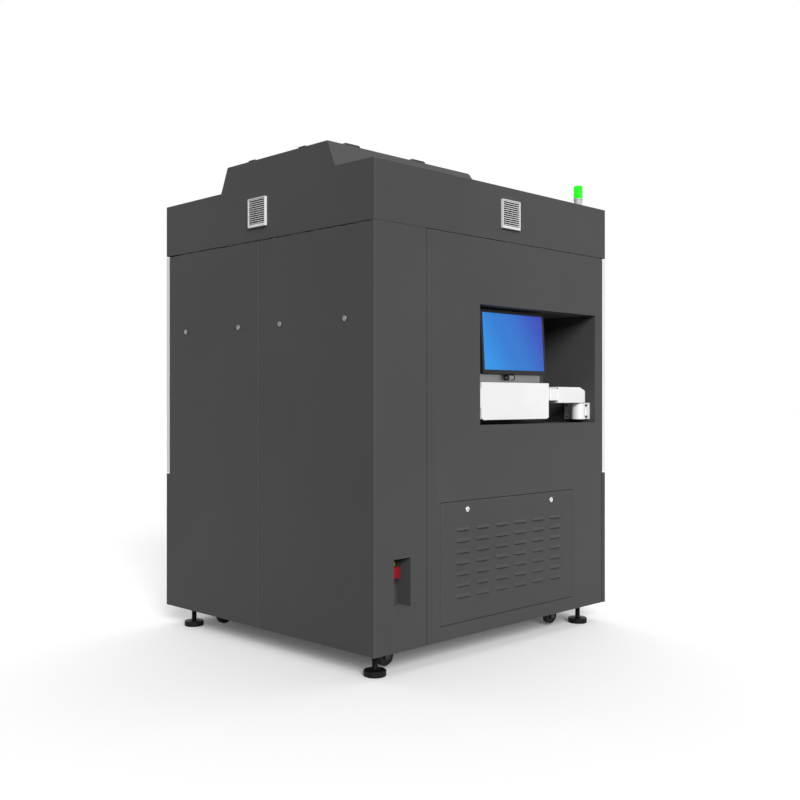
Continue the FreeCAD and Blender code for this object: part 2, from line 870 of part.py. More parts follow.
isolator_axis = (isolator_depth, middle(isolator_b), isolator_h[1] - isolator_axis_drop)


def isolator_plate():
    """Square plate behind the isolator's handle."""
    depth, b, h = isolator_axis
    plate_a = (depth - isolator_plate_thickness, depth)
    plate = block(plate_a, centred(b, isolator_plate_size), centred(h, isolator_plate_size))
    hole_radius = isolator_shaft_radius + running_clearance
    return plate.cut(rod((plate_a[0], b, h), hole_radius, isolator_plate_thickness, INWARD))


def isolator_handle():
    """Turning grip with a collar and shaft."""
    depth, b, h = isolator_axis
    back = depth - isolator_plate_thickness - seat_gap
    front = back - isolator_grip_reach
    grip = block((front, back - isolator_collar), centred(b, isolator_grip_width),
                 centred(h, isolator_grip_height))
    grip = grip.makeFillet(isolator_grip_round, edges_along(grip, INWARD))
    collar = rod((back - isolator_collar, b, h), isolator_collar_radius, isolator_collar, INWARD)
    shaft_length = isolator_plate_thickness + seat_gap
    shaft = rod((back, b, h), isolator_shaft_radius, shaft_length, INWARD)
    return united([grip, collar, shaft])


def arm_bracket():
    """Wall plate with a web, the round post and the pin that the arm turns on."""
    plate_b = (arm_wall - arm_plate_thickness, arm_wall)
    plate = block(arm_plate_a, plate_b, arm_plate_h)
    post = rod((post_inset, post_b, post_base), post_radius, post_height, UP)
    web = block(centred(post_inset, post_web), (post_b, plate_b[0]), (post_base, post_head))
    collar = rod((post_inset, post_b, post_head), arm_collar_radius, arm_collar, UP)
    pin = rod((post_inset, post_b, arm_level), arm_pin_radius, arm_pin_length, UP)
    drills = [
        rod((a, plate_b[0], h), arm_screw_radius, arm_plate_thickness, FORWARD) for a, h in arm_screw_places
    ]
    return united([plate, post, web, collar, pin]).cut(Part.makeCompound(drills))


def bracket_screws():
    """Screws that hold the wall plate to the frame's backing block."""
    screws = []
    face = arm_wall - arm_plate_thickness
    shank = arm_plate_thickness + console_front_margin - tube
    for a, h in arm_screw_places:
        head = rod((a, face - arm_screw_head, h), arm_screw_head_radius, arm_screw_head, FORWARD)
        stem = rod((a, face, h), arm_screw_radius, shank, FORWARD)
        screws.append(united([head, stem]))
    return Part.makeCompound(screws)


def support_arm():
    """Elbow over the post, wide box, sleeve and the narrower tube that reaches behind the tray."""
    low, high = arm_level, arm_level + arm_height
    wide_a = centred(post_inset, 2 * post_radius)
    end_b = post_b - arm_length
    slope_b = grown((post_b, post_b), post_radius)
    box = block(wide_a, (end_b, post_b), (low, high))
    elbow = rod((post_inset, post_b, low), post_radius, arm_height, UP)
    slope = ((slope_b[0], high), (slope_b[1], high), (slope_b[1], high - elbow_drop))
    corner = prism([(wide_a[0], b, h) for b, h in slope], INWARD, 2 * post_radius)
    tube_a = span(bracket_a[1], arm_tube_width)
    tube_h = centred(middle((low, high)), arm_tube_height)
    inside_b = end_b + post_radius
    reach = block(tube_a, (middle(bracket_b), inside_b), tube_h)
    sleeve = block((wide_a[0] + sleeve_step, tube_a[1]), (tray_b[1] + sleeve_gap, inside_b), tube_h)
    arm = united([united([box, elbow]).cut(corner), reach, sleeve])
    return arm.cut(rod((post_inset, post_b, low), arm_pin_radius + running_clearance, arm_pin_length, UP))


def console_bracket():
    """Plate on the arm with the tray's hinge rod and the monitor's knuckle."""
    pieces = [block(bracket_a, bracket_b, bracket_h)]
    rod_b = grown(tray_b, rod_overhang)
    pieces.append(rod((tray_rod_a, rod_b[0], tray_rod_h), rod_radius, rod_b[1] - rod_b[0], FORWARD))
    for lug_b in (span(bracket_b[0], rod_lug), (bracket_b[1] - rod_lug, bracket_b[1])):
        pieces.append(rod((tray_rod_a, lug_b[0], tray_rod_h), rod_lug_radius, rod_lug, FORWARD))
        pieces.append(block((tray_rod_a, bracket_a[0]), lug_b, centred(tray_rod_h, 2 * rod_lug_radius)))
    pieces.append(rod((knuckle_a, knuckle_b[0], knuckle_h), knuckle_radius, knuckle_length, FORWARD))
    pieces.append(block((knuckle_a, bracket_a[0]), knuckle_b, (knuckle_h - knuckle_radius, knuckle_h)))
    pin_b = grown(knuckle_b, knuckle_ear + 2 * knuckle_gap)
    pieces.append(rod((knuckle_a, pin_b[0], knuckle_h), knuckle_pin_radius, pin_b[1] - pin_b[0], FORWARD))
    return united(pieces)


def keyboard_tray():
    """Folding tray: a face with lips on its sides and far edge, a side grip, bored for the hinge rod."""
    a = span(tray_face, tray_depth)
    low, high = tray_h
    outline = (
        (tray_b[0] + tray_corner, low),
        (tray_b[1] - tray_corner, low),
        (tray_b[1], low + tray_corner),
        (tray_b[1], high),
        (tray_b[0], high),
        (tray_b[0], low + tray_corner),
    )
    tray = prism([(a[0], b, h) for b, h in outline], INWARD, tray_depth)
    inside_b = grown(tray_b, -sheet)
    tray = tray.cut(block((a[0] + sheet, a[1]), inside_b, (low - sheet, high - sheet)))
    ears = [block(a, span(b, sheet), span(low + rod_above_edge - rod_lug_radius, tray_corner))
            for b in (tray_b[0], tray_b[1] - sheet)]
    grip_b = (tray_b[0] - tray_grip_reach, tray_b[0])
    grip = block(a, grip_b, span(low + tray_grip_rise, tray_grip_length))
    tray = united([tray, grip] + ears)
    hole = rod((tray_rod_a, tray_b[0], tray_rod_h), rod_radius + running_clearance, tray_width, FORWARD)
    return tray.cut(hole)


def leaned(shape):
    """Shape leaned back about the knuckle's pin."""
    shape.rotate(at(knuckle_a, 0, knuckle_h), Vector(0, 1, 0), monitor_lean)
    return shape


screen_b = grown(monitor_b, -screen_border)
screen_h = (monitor_h[0] + screen_chin, monitor_h[1] - screen_border)


def monitor_housing():
    """Monitor case with a rebate for the screen, a thicker back and two hinge ears."""
    case = block(span(tray_face, monitor_edge), monitor_b, monitor_h)
    case = case.cut(block(span(tray_face, screen_thickness), screen_b, screen_h))
    hump = block((tray_face + monitor_edge, tray_face + monitor_back), grown(monitor_b, -monitor_back_margin),
                 grown(monitor_h, -monitor_back_margin))
    pieces = [case, hump]
    inner = knuckle_gap
    for start in (knuckle_b[0] - inner - knuckle_ear, knuckle_b[1] + inner):
        pieces.append(rod((knuckle_a, start, knuckle_h), knuckle_radius, knuckle_ear, FORWARD))
        neck_a = (knuckle_a - knuckle_radius / 2, tray_face + monitor_edge)
        pieces.append(block(neck_a, span(start, knuckle_ear), (knuckle_h, monitor_h[0])))
    bore_radius = knuckle_pin_radius + running_clearance
    bore = rod((knuckle_a, monitor_b[0], knuckle_h), bore_radius, monitor_width, FORWARD)
    return leaned(united(pieces).cut(bore))


def monitor_screen():
    """Flat screen in the case's rebate."""
    return leaned(block(span(tray_face, screen_thickness), screen_b, screen_h))


def resin_vat():
    """Open tank on the base frame."""
    tank = block(vat_a, vat_b, (base_top, vat_top))
    return tank.cut(block(grown(vat_a, -vat_wall), grown(vat_b, -vat_wall), (base_top + vat_floor, vat_top)))


def z_column():
    """Hollow lift column on a foot plate, with the screw's two bearing brackets."""
    column_b = (column_back, column_face)
    column = block(column_a, column_b, (base_top, column_top))
    column = column.cut(block(grown(column_a, -column_wall), grown(column_b, -column_wall),
                              (base_top, column_top - column_wall)))
    margin = column_foot_margin
    foot = block(grown(column_a, margin), (column_b[0] - margin, column_b[1]), span(base_top, column_foot))
    bearing_a = centred(vat_middle_a, bearing_width)
    bearing_b = span(column_face, bearing_reach)
    brackets = [block(bearing_a, bearing_b, h) for h in (bearing_low_h, bearing_high_h)]
    journal = screw_journal_radius + running_clearance
    bore = rod((vat_middle_a, screw_b, base_top), journal, column_height, UP)
    return united([column, foot] + brackets).cut(bore)


def linear_rails():
    """Two upright rails on the column and two level ones on the deck beams."""
    rails = [block(centred(a, rail_width), span(column_face, rail_thickness), rail_h) for a in rail_places]
    level_b = (vat_b[0] - recoater_rail_lead, frame_depth - tube)
    rails += [block(a, level_b, recoater_rail_h) for a in recoater_rails_a]
    return Part.makeCompound(rails)


def z_motor():
    """Lift motor on the upper bearing bracket."""
    body = block(centred(vat_middle_a, motor_size), centred(screw_b, motor_size),
                 span(column_top, motor_length))
    edges = edges_along(body, UP)
    return body.makeChamfer(motor_chamfer, edges)


def ball_screw():
    """Lift screw with a journal in each bearing bracket."""
    shaft_h = (bearing_low_h[1] + seat_gap, bearing_high_h[0] - seat_gap)
    journal = rod((vat_middle_a, screw_b, bearing_low_h[0]), screw_journal_radius,
                  bearing_high_h[1] - bearing_low_h[0], UP)
    shaft = rod((vat_middle_a, screw_b, shaft_h[0]), screw_radius, shaft_h[1] - shaft_h[0], UP)
    return united([journal, shaft])


def z_carriage():
    """Carriage block that runs on the upright rails and carries the screw's nut."""
    carriage_a = grown((rail_places[0] - rail_width / 2, rail_places[1] + rail_width / 2), carriage_margin)
    body = block(carriage_a, carriage_b, carriage_h)
    grooves = [
        block(centred(a, rail_width + 2 * rail_clearance),
              (carriage_b[0], column_face + rail_thickness + rail_clearance), carriage_h)
        for a in rail_places
    ]
    nut = rod((vat_middle_a, screw_b, carriage_h[0]), screw_radius + running_clearance, carriage_height, UP)
    return body.cut(Part.makeCompound(grooves + [nut]))


def build_platform():
    """Perforated plate on two beams, hung from the carriage by a cross bar and legs."""
    cross_a = centred(vat_middle_a, arm_cross_width)
    pieces = [block(cross_a, (carriage_b[1], leg_b[1]), cross_h)]
    plate_h = (platform_top - platform_thickness, platform_top)
    plate_a = centred(vat_middle_a, platform_size)
    plate_b = centred(vat_middle_b, platform_size)
    beam_h = (plate_h[0] - platform_beam_height, plate_h[0])
    for beam_a in (span(cross_a[0], platform_beam), (cross_a[1] - platform_beam, cross_a[1])):
        pieces.append(block(beam_a, leg_b, (beam_h[0], cross_h[0])))
        pieces.append(block(beam_a, (leg_b[1], plate_b[1]), beam_h))
    plate = block(plate_a, plate_b, plate_h)
    pitch = platform_size / platform_holes
    holes = [
        rod((plate_a[0] + (i + 0.5) * pitch, plate_b[0] + (j + 0.5) * pitch, plate_h[0]),
            platform_hole_radius, platform_thickness, UP)
        for i in range(platform_holes)
        for j in range(platform_holes)
    ]
    plate = plate.cut(Part.makeCompound(holes))
    return united(pieces + [plate])


def recoater():
    """Recoating beam with a block on each rail and the blade below it."""
    blocks = []
    for rail_a in recoater_rails_a:
        body = block(grown(rail_a, carriage_margin), recoater_b,
                     (deck_top + seat_gap, deck_top + recoater_block_height))
        groove = block(grown(rail_a, rail_clearance), recoater_b,
                       (deck_top, recoater_rail_h[1] + rail_clearance))
        blocks.append(body.cut(groove))
    beam_a = (recoater_rails_a[0][0] - carriage_margin, recoater_rails_a[1][1] + carriage_margin)
    beam_h = span(deck_top + recoater_block_height, recoater_height)
    beam = block(beam_a, recoater_b, beam_h)
    blade_a = grown(vat_a, -vat_wall - blade_margin)
    blade_h = (vat_top + blade_clearance, beam_h[0])
    blade = block(blade_a, centred(middle(recoater_b), blade_thickness), blade_h)
    return united(blocks + [beam, blade])


def optics_plate():
    """Thick plate on the frame's ring with the scanner's aperture."""
    margin = optics_plate_margin
    plate = block((margin, frame_width - margin), (margin, frame_depth - margin),
                  span(panel_height, optics_plate_thickness))
    aperture = rod((vat_middle_a, vat_middle_b, panel_height), scanner_lens_radius + aperture_clearance,
                   optics_plate_thickness, UP)
    return plate.cut(aperture)


optics_level = panel_height + optics_plate_thickness


def laser_head():
    """Laser case of thick sheet, open below, on four feet."""
    a, b = span(laser_start, laser_width), span(laser_back, laser_length)
    case_h = span(optics_level + laser_foot, laser_height)
    case = block(a, b, case_h)
    case = case.cut(block(grown(a, -laser_wall), grown(b, -laser_wall), (case_h[0], case_h[1] - laser_wall)))
    feet = [
        block(foot_a, foot_b, span(optics_level, laser_foot))
        for foot_a in (span(a[0], laser_foot_width), (a[1] - laser_foot_width, a[1]))
        for foot_b in (span(b[0], laser_foot_width), (b[1] - laser_foot_width, b[1]))
    ]
    return united([case] + feet)


def scanner_head():
    """Mirror scanner over the vat with its lens in the aperture and a beam tube to the laser."""
    box_h = span(optics_level, scanner_height)
    box = block(centred(vat_middle_a, scanner_size), centred(vat_middle_b, scanner_size), box_h)
    lens = rod((vat_middle_a, vat_middle_b, optics_level - scanner_lens_drop), scanner_lens_radius,
               scanner_lens_drop, UP)
    bend_a = laser_start + laser_width / 2
    level = middle(box_h)
    start = laser_back + laser_length
    down = rod((bend_a, start, level), beam_tube_radius, vat_middle_b - start, FORWARD)
    across = rod((bend_a, vat_middle_b, level), beam_tube_radius, vat_middle_a - bend_a, INWARD)
    mirror = block(centred(bend_a, mirror_mount), centred(vat_middle_b, mirror_mount),
                   (optics_level, level + mirror_mount_over))
    return united([box, lens, down, across, mirror])


def control_cabinet():
    """Electronics chassis on the base frame, open towards the louvres, with shelves."""
    a, b = span(electronics_inset, electronics_width), grown(vent_b, -electronics_margin)
    h = span(base_top, electronics_height)
    pieces = [pan(a, b, h, "a1")]
    pitch = electronics_height / (electronics_shelves + 1)
    for i in range(electronics_shelves):
        pieces.append(block(a, b, span(h[0] + (i + 1) * pitch, sheet)))
    return united(pieces)


def tower_light_base():
    """Round base of the signal tower with a groove below the lens."""
    place = (tower_inset, hood_depth - tower_setback, hood_top)
    base = rod(place, tower_radius, tower_base_height, UP)
    groove_level = hood_top + tower_base_height - tower_groove_rise
    groove_place = (place[0], place[1], groove_level)
    ring = rod(groove_place, tower_radius, tower_groove, UP)
    ring = ring.cut(rod(groove_place, tower_radius - tower_groove, tower_groove, UP))
    return base.cut(ring)


def tower_light_lens():
    """Signal lens with a rounded top edge."""
    place = (tower_inset, hood_depth - tower_setback, hood_top + tower_base_height)
    lens = rod(place, tower_radius, tower_lens_height, UP)
    top_edges = [edge for edge in lens.Edges if edge.BoundBox.ZMin > lens.BoundBox.ZMax - straight_tolerance]
    return lens.makeFillet(tower_groove, top_edges)


def levelling_foot(a, b):
    """Foot with a coned pad, a stem through the corner plate and its nut."""
    floor = -skirt_clearance
    pad = rod((a, b, floor), foot_radius, foot_side, UP)
    cone = Part.makeCone(foot_radius, foot_neck_radius, foot_cone, at(a, b, floor + foot_side), UP)
    stem_start = floor + foot_side + foot_cone
    stem_end = base_rise + foot_stem_into_tube
    stem = rod((a, b, stem_start), foot_stem_radius, stem_end - stem_start, UP)
    turns = [2 * math.pi * i / foot_nut_sides for i in range(foot_nut_sides)]
    corners = [
        (a + foot_nut_radius * math.cos(turn), b + foot_nut_radius * math.sin(turn), plate_level - foot_nut)
        for turn in turns
    ]
    nut = prism(corners, UP, foot_nut)
    return united([pad, cone, stem, nut])


def caster_fork(a, b):
    """Swivel fork with its pin in the corner plate and an axle between its legs."""
    wheel_b = b - caster_trail
    half = wheel_width / 2 + fork_gap
    crown_h = (plate_level - fork_crown, plate_level)
    pieces = [rod((a, b, crown_h[0]), fork_crown_radius, fork_crown, UP)]
    pieces.append(rod((a, b, crown_h[1]), fork_pin_radius, mounting_plate + fork_pin_over, UP))
    bridge_h = (crown_h[0] - fork_bridge, crown_h[0])
    pieces.append(block(centred(a, 2 * (half + fork_leg)), centred(b, 2 * fork_crown_radius), bridge_h))
    for start in (a - half - fork_leg, a + half):
        sides = [(b + fork_crown_radius, bridge_h[0]), (b - fork_crown_radius, bridge_h[0]),
                 (wheel_b - fork_ear_radius, axle_level), (wheel_b + fork_ear_radius, axle_level)]
        pieces.append(prism([(start, y, z) for y, z in sides], INWARD, fork_leg))
        pieces.append(rod((start, wheel_b, axle_level), fork_ear_radius, fork_leg, INWARD))
    pieces.append(rod((a - half - fork_leg, wheel_b, axle_level), axle_radius, 2 * (half + fork_leg), INWARD))
    return united(pieces)


def caster_wheel(a, b):
    """Wheel with rounded tread edges and a recess on each side round its hub."""
    wheel_b = b - caster_trail
    wheel = rod((a - wheel_width / 2, wheel_b, axle_level), wheel_radius, wheel_width, INWARD)
    wheel = wheel.makeFillet(wheel_round, [edge for edge in wheel.Edges if len(edge.Vertexes) == 1])
    for start in (a - wheel_width / 2, a + wheel_width / 2 - wheel_hub_step):
        ring = rod((start, wheel_b, axle_level), wheel_radius - 2 * wheel_round, wheel_hub_step, INWARD)
        ring = ring.cut(rod((start, wheel_b, axle_level), wheel_hub_radius, wheel_hub_step, INWARD))
        wheel = wheel.cut(ring)
    bore_radius = axle_radius + running_clearance
    bore = rod((a - wheel_width / 2, wheel_b, axle_level), bore_radius, wheel_width, INWARD)
    return wheel.cut(bore)


def all_parts():
    """Every piece under its own name."""
    grille, fan = upright_grille(), upright_fan()
    parts = {
        "base_frame": base_frame(),
        "upright_frame": upright_frame(),
        "corner_panel": corner_panel(),
        "console_panel": console_panel(),
        "console_recess": console_recess(),
        "vent_panel": vent_panel(),
        "rear_panel_right": rear_panel(rear_a_span),
        "rear_panel_left": rear_panel(rear_b_span),
        "side_cover_upper": side_cover((band_height + seam / 2, panel_top)),
        "side_cover_lower": side_cover((0, band_height - seam / 2)),
        "front_upper_cover": front_upper_cover(),
        "front_lower_cover": front_lower_cover(),
        "front_door": front_door(),
        "door_window": door_window(),
        "hood_shell": hood_shell(),
        "raised_cover": raised_cover(),
        "vent_grilles": Part.makeCompound([on_rear(grille), on_side(grille)]),
        "rear_fan": on_rear(fan),
        "side_fan": on_side(fan),
        "isolator_plate": isolator_plate(),
        "isolator_handle": isolator_handle(),
        "arm_bracket": arm_bracket(),
        "bracket_screws": bracket_screws(),
        "support_arm": support_arm(),
        "console_bracket": console_bracket(),
        "keyboard_tray": keyboard_tray(),
        "monitor_housing": monitor_housing(),
        "monitor_screen": monitor_screen(),
        "resin_vat": resin_vat(),
        "z_column": z_column(),
        "linear_rails": linear_rails(),
        "z_motor": z_motor(),
        "ball_screw": ball_screw(),
        "z_carriage": z_carriage(),
        "build_platform": build_platform(),
        "recoater": recoater(),
        "optics_plate": optics_plate(),
        "laser_head": laser_head(),
        "scanner_head": scanner_head(),
        "control_cabinet": control_cabinet(),
        "tower_light_base": tower_light_base(),
        "tower_light_lens": tower_light_lens(),
    }
    for i, a in enumerate(lock_places, 1):
        parts["rear_lock_%d" % i] = rear_lock(a)
    for i, b in enumerate(vent_lock_places, 1):
        parts["vent_lock_%d" % i] = vent_lock(b)
    for i, place in enumerate(foot_places, 1):
        parts["levelling_foot_%d" % i] = levelling_foot(*place)
    for i, place in enumerate(caster_places, 1):
        parts["caster_fork_%d" % i] = caster_fork(*place)
        parts["caster_wheel_%d" % i] = caster_wheel(*place)
    return parts


os.makedirs("parts", exist_ok=True)
for name, shape in all_parts().items():
    shape.exportStep("parts/%s.step" % name)
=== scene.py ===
import json
import math

import bmesh
import bpy
from mathutils import Matrix, Vector

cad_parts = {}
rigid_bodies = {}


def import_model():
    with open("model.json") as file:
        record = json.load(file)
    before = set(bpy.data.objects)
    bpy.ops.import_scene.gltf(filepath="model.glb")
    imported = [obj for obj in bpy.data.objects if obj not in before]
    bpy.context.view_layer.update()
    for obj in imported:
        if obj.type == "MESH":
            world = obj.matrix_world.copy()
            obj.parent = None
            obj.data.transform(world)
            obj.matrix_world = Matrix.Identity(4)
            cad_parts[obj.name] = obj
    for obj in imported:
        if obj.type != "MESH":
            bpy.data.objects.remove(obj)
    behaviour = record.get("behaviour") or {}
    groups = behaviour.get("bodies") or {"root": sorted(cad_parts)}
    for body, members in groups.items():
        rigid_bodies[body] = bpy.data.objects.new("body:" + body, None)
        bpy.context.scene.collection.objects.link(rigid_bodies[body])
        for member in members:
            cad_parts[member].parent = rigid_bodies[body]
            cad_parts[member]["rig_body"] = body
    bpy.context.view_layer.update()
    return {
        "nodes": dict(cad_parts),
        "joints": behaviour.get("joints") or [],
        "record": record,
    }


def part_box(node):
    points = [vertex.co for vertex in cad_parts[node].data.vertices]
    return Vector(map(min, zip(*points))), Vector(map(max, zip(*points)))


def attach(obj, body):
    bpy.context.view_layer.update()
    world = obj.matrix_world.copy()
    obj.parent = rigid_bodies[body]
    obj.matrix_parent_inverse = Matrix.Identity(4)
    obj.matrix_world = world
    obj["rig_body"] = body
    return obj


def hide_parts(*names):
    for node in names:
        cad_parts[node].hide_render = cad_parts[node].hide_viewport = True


bl_info = {
    "name": "Resin printer dressing",
    "version": (1, 0, 0),
    "blender": (4, 5, 0),
    "location": "3D View > Sidebar > Printer",
    "description": "Dresses the frame of a cabinet resin printer with finished pieces",
    "category": "Object",
}

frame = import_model()
SLOT_OF = {row["node"]: row["material_slot"] for row in frame["record"]["subparts"]}
SIDE_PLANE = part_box("console_panel")[0].x
REAR_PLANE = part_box("rear_panel_left")[1].y
WELD_DISTANCE = 2e-6
PLANE_TOLERANCE = 2e-5
FLAT_ANGLE = math.radians(0.5)
SHARP_ANGLE = math.radians(28)
SMOOTH_ANGLE = math.radians(40)
QUARTER_TURN = math.radians(90)
RUB_LAYER = "rubbed"
WHITE = (1.0, 1.0, 1.0, 1.0)
DUST = (0.45, 0.44, 0.42, 1.0)


def colour(name, description, default):
    """Colour that a user may change."""
    return bpy.props.FloatVectorProperty(
        name=name, description=description, subtype="COLOR", size=3, min=0, max=1, default=default
    )


def length(name, description, default):
    """Length that a user may change, in metres."""
    return bpy.props.FloatProperty(
        name=name, description=description, unit="LENGTH", min=0, precision=4, default=default
    )


def count(name, description, default):
    """Whole number that a user may change."""
    return bpy.props.IntProperty(name=name, description=description, min=1, default=default)


def strength(name, description, default):
    """Strength of a light that a user may change."""
    return bpy.props.FloatProperty(name=name, description=description, min=0, default=default)


def direction(name, description, default):
    """Direction that a user may change."""
    return bpy.props.FloatVectorProperty(
        name=name, description=description, subtype="DIRECTION", default=default
    )


def angle(name, description, degrees):
    """Angle that a user may change, given here in degrees."""
    return bpy.props.FloatProperty(
        name=name, description=description, subtype="ANGLE", default=math.radians(degrees)
    )


class PrinterColours(bpy.types.PropertyGroup):
    """Colours of the paints, plastics, metals, lights and floor"""

    dark_paint: colour("Dark paint", "Powder coat of the cabinet's dark panels", (0.070, 0.070, 0.0705))
    white_paint: colour("White paint", "Powder coat of the cabinet's white panels", (0.80, 0.80, 0.79))
    console_paint: colour("Console paint", "Powder coat of the arm and tray", (0.87, 0.87, 0.87))
    grille: colour("Grille", "Moulded plastic of the hood's vents", (0.80, 0.80, 0.79))
    primer: colour("Primer", "Paint of the welded frames", (0.22, 0.23, 0.24))
    amber: colour("Amber", "Tint of the door's window", (0.95, 0.42, 0.04))
    red: colour("Red", "Isolator handle", (0.24, 0.004, 0.009))
    yellow: colour("Yellow", "Isolator plate", (0.52, 0.38, 0.035))
    bezel: colour("Bezel", "Monitor case", (0.012, 0.012, 0.013))
    screen_near: colour("Screen, light corner", "Lit screen at its lower rear corner", (0.022, 0.30, 0.81))
    screen_middle: colour("Screen, middle", "Lit screen between its corners", (0.024, 0.185, 0.62))
    screen_far: colour("Screen, deep corner", "Lit screen at its upper front corner", (0.035, 0.060, 0.48))
    lens: colour("Lens", "Lit signal lens", (0.012, 0.95, 0.004))
    steel: colour("Steel", "Ground and brushed steel", (0.56, 0.56, 0.56))
    aluminium: colour("Aluminium", "Machined plates and beams", (0.66, 0.67, 0.68))
    chrome: colour("Chrome", "Quarter-turn locks of the vent panel", (0.72, 0.72, 0.73))
    # Kept dark on purpose: painted shade standing in for the dim reflections on the rear locks and the
    # monitor's shadow on the console bracket.
    shaded_zinc: colour("Zinc", "Rear locks and console bracket", (0.24, 0.24, 0.235))
    black: colour("Black", "Feet, wheels, fans and motor", (0.008, 0.008, 0.008))
    floor: colour("Floor", "Studio floor", (0.95, 0.95, 0.95))


class PrinterSheets(bpy.types.PropertyGroup):
    """Folded sheets of the cabinet and hood"""

    bend: length("Bend", "Outer radius of a folded sheet edge", 0.0028)
    corner: length("Corner", "Outer radius of the cabinet's rear console-side corner", 0.0055)
    slope: length("Slope", "Run of the raised cover's slopes", 0.047)
    rise: length("Rise", "Height of the raised cover", 0.104)
    sheet: length("Sheet", "Thickness of the sheet", 0.002)
    lug_width: length("Lug width", "Width of the lugs on the raised cover", 0.026)


class PrinterVents(bpy.types.PropertyGroup):
    """Louvres of the vent panel and slats of the hood's grilles"""

    columns: count("Columns", "Columns of louvres", 6)
    rows: count("Rows", "Rows of louvres", 7)
    pitch: length("Pitch", "From column to column", 0.119)
    rise: length("Rise", "From row to row", 0.043)
    first: length("First", "From the panel's rear edge to the first louvre", 0.086)
    sill: length("Sill", "From the panel's lower edge to the first louvre", 0.097)
    length: length("Length", "Length of a louvre", 0.077)
    height: length("Height", "Height of a louvre", 0.012)
    proud: length("Proud", "How far a louvre stands out", 0.011)
    bend: length("Bend", "Rounding of the vent panel's folded edge", 0.00196)
    sheet: length("Sheet", "Thickness of the vent panel's sheet", 0.0015)
    slats: count("Slats", "Slats of a hood grille", 12)
    slat: length("Slat", "Thickness of a slat", 0.003)
    slat_depth: length("Slat depth", "How deep a slat reaches", 0.008)
    slat_drop: length("Slat drop", "How far a slat falls towards its nose", 0.001)
    wall: length("Wall", "Thickness of a grille's border", 0.003)
    lip: length("Lip", "Height of a grille's sill", 0.011)


class PrinterEdges(bpy.types.PropertyGroup):
    """Roundings of the pieces' edges"""

    arm: length("Arm", "Rounding of the console arm's edges", 0.0025)
    bracket: length("Bracket", "Rounding of the console brackets' edges", 0.0008)
    tray: length("Tray", "Rounding of the keyboard tray's edges", 0.0009)
    screw: length("Screw", "Rounding of the bracket screws' heads", 0.0008)
    bezel: length("Bezel", "Rounding of the monitor's edges", 0.0009)
    bezel_corner: length("Bezel corner", "Radius of the monitor's corners", 0.006)
    isolator_plate: length("Isolator plate", "Rounding of the isolator plate's edges", 0.0012)
    isolator_handle: length("Isolator handle", "Rounding of the isolator handle's edges", 0.0018)
    grille: length("Grille", "Rounding of a grille's border", 0.0007)
    grille_sill: length("Grille sill", "Rounding of a grille's sill", 0.0014)
    strut: length("Strut", "Rounding of the strut that holds a fan motor", 0.001)
    fan: length("Fan", "Rounding of the fan rotors' edges", 0.0005)
    nut: length("Nut", "Rounding of the feet's lock nuts", 0.0012)
    fork: length("Fork", "Rounding of the caster forks' edges", 0.0009)
    window: length("Window", "Rounding of the door window's edges", 0.001)
    works: length("Works", "Rounding of the vat's, lift's and recoater's edges", 0.0012)
    optics: length("Optics", "Rounding of the laser's and scanner's edges", 0.002)


class PrinterGear(bpy.types.PropertyGroup):
    """Feet, wheels, lift screw and signal lens"""

    foot_round: length("Foot rounding", "Rounding of a foot's rim", 0.004)
    thread: length("Thread", "Pitch of the foot's thread", 0.003)
    thread_depth: length("Thread depth", "Depth of the foot's thread", 0.0011)
    screw_lead: length("Screw lead", "Lead of the lift screw", 0.010)
    screw_depth: length("Screw depth", "Depth of the lift screw's groove", 0.0022)
    tread_groove: length("Tread groove", "Depth of the groove in a wheel's tread", 0.0015)
    flutes: count("Flutes", "Flutes round the signal lens", 24)
    flute_depth: length("Flute depth", "Depth of the lens's flutes", 0.0007)


class PrinterStage(bpy.types.PropertyGroup):
    """Camera, lamps, surroundings and floor"""

    eye: bpy.props.FloatVectorProperty(
        name="Eye", description="Place of the camera", subtype="TRANSLATION", unit="LENGTH",
        default=(-3.2886, 3.1973, 1.0014)
    )
    look: direction("Look", "Direction of the camera", (0.70819, -0.70602, 0.00059))
    lens: bpy.props.FloatProperty(
        name="Lens", description="Focal length on the sensor", unit="CAMERA", default=45.568
    )
    sensor: bpy.props.FloatProperty(
        name="Sensor", description="Width of the sensor", unit="CAMERA", default=36.0
    )
    sight: length("Sight", "How far the camera sees", 200.0)
    dome: strength("Dome", "Strength of the light at the horizon", 0.075)
    zenith: strength("Zenith", "Strength that the dome gains overhead", 0.34)
    key: strength("Key", "Strength of the soft key light", 3.25)
    key_from: direction("Key from", "Direction that the key light comes from", (-0.77, 0.47, 0.43))
    key_softness: angle("Key softness", "Angle of the key light", 30)
    fill: strength("Fill", "Strength of the wide light on the hidden sides", 1.3)
    fill_from: direction("Fill from", "Direction that the fill light comes from", (0.42, -0.50, 0.76))
    fill_softness: angle("Fill softness", "Angle of the fill light", 90)
    floor_lift: strength("Floor lift", "White that the floor shows the camera on top of its light", 0.08)
    floor_bounce: bpy.props.FloatProperty(
        name="Floor bounce", description="Share of the floor's colour that lights the part from below",
        subtype="FACTOR", min=0, max=1, default=0.2
    )
    floor_reach: length("Floor reach", "Half the width of the floor", 60.0)


def settings(group):
    """Property group of the scene by its short name."""
    return getattr(bpy.context.scene, "printer_" + group)


def place(tree, kind, inputs=None, **options):
    """Node of a kind in a tree; an input is a plain value or another node's socket."""
    made = tree.nodes.new(kind)
    for key, value in options.items():
        setattr(made, key, value)
    for key, value in (inputs or {}).items():
        if isinstance(value, bpy.types.NodeSocket):
            tree.links.new(value, made.inputs[key])
        else:
            made.inputs[key].default_value = value
    return made


def mixed(tree, factor, first, second):
    """Colour between two colours or sockets by a factor."""
    # The node repeats its socket names for each kind of data, so its sockets are taken by number.
    mix = place(tree, "ShaderNodeMix", {0: factor, 6: first, 7: second}, data_type="RGBA")
    return mix.outputs[2]


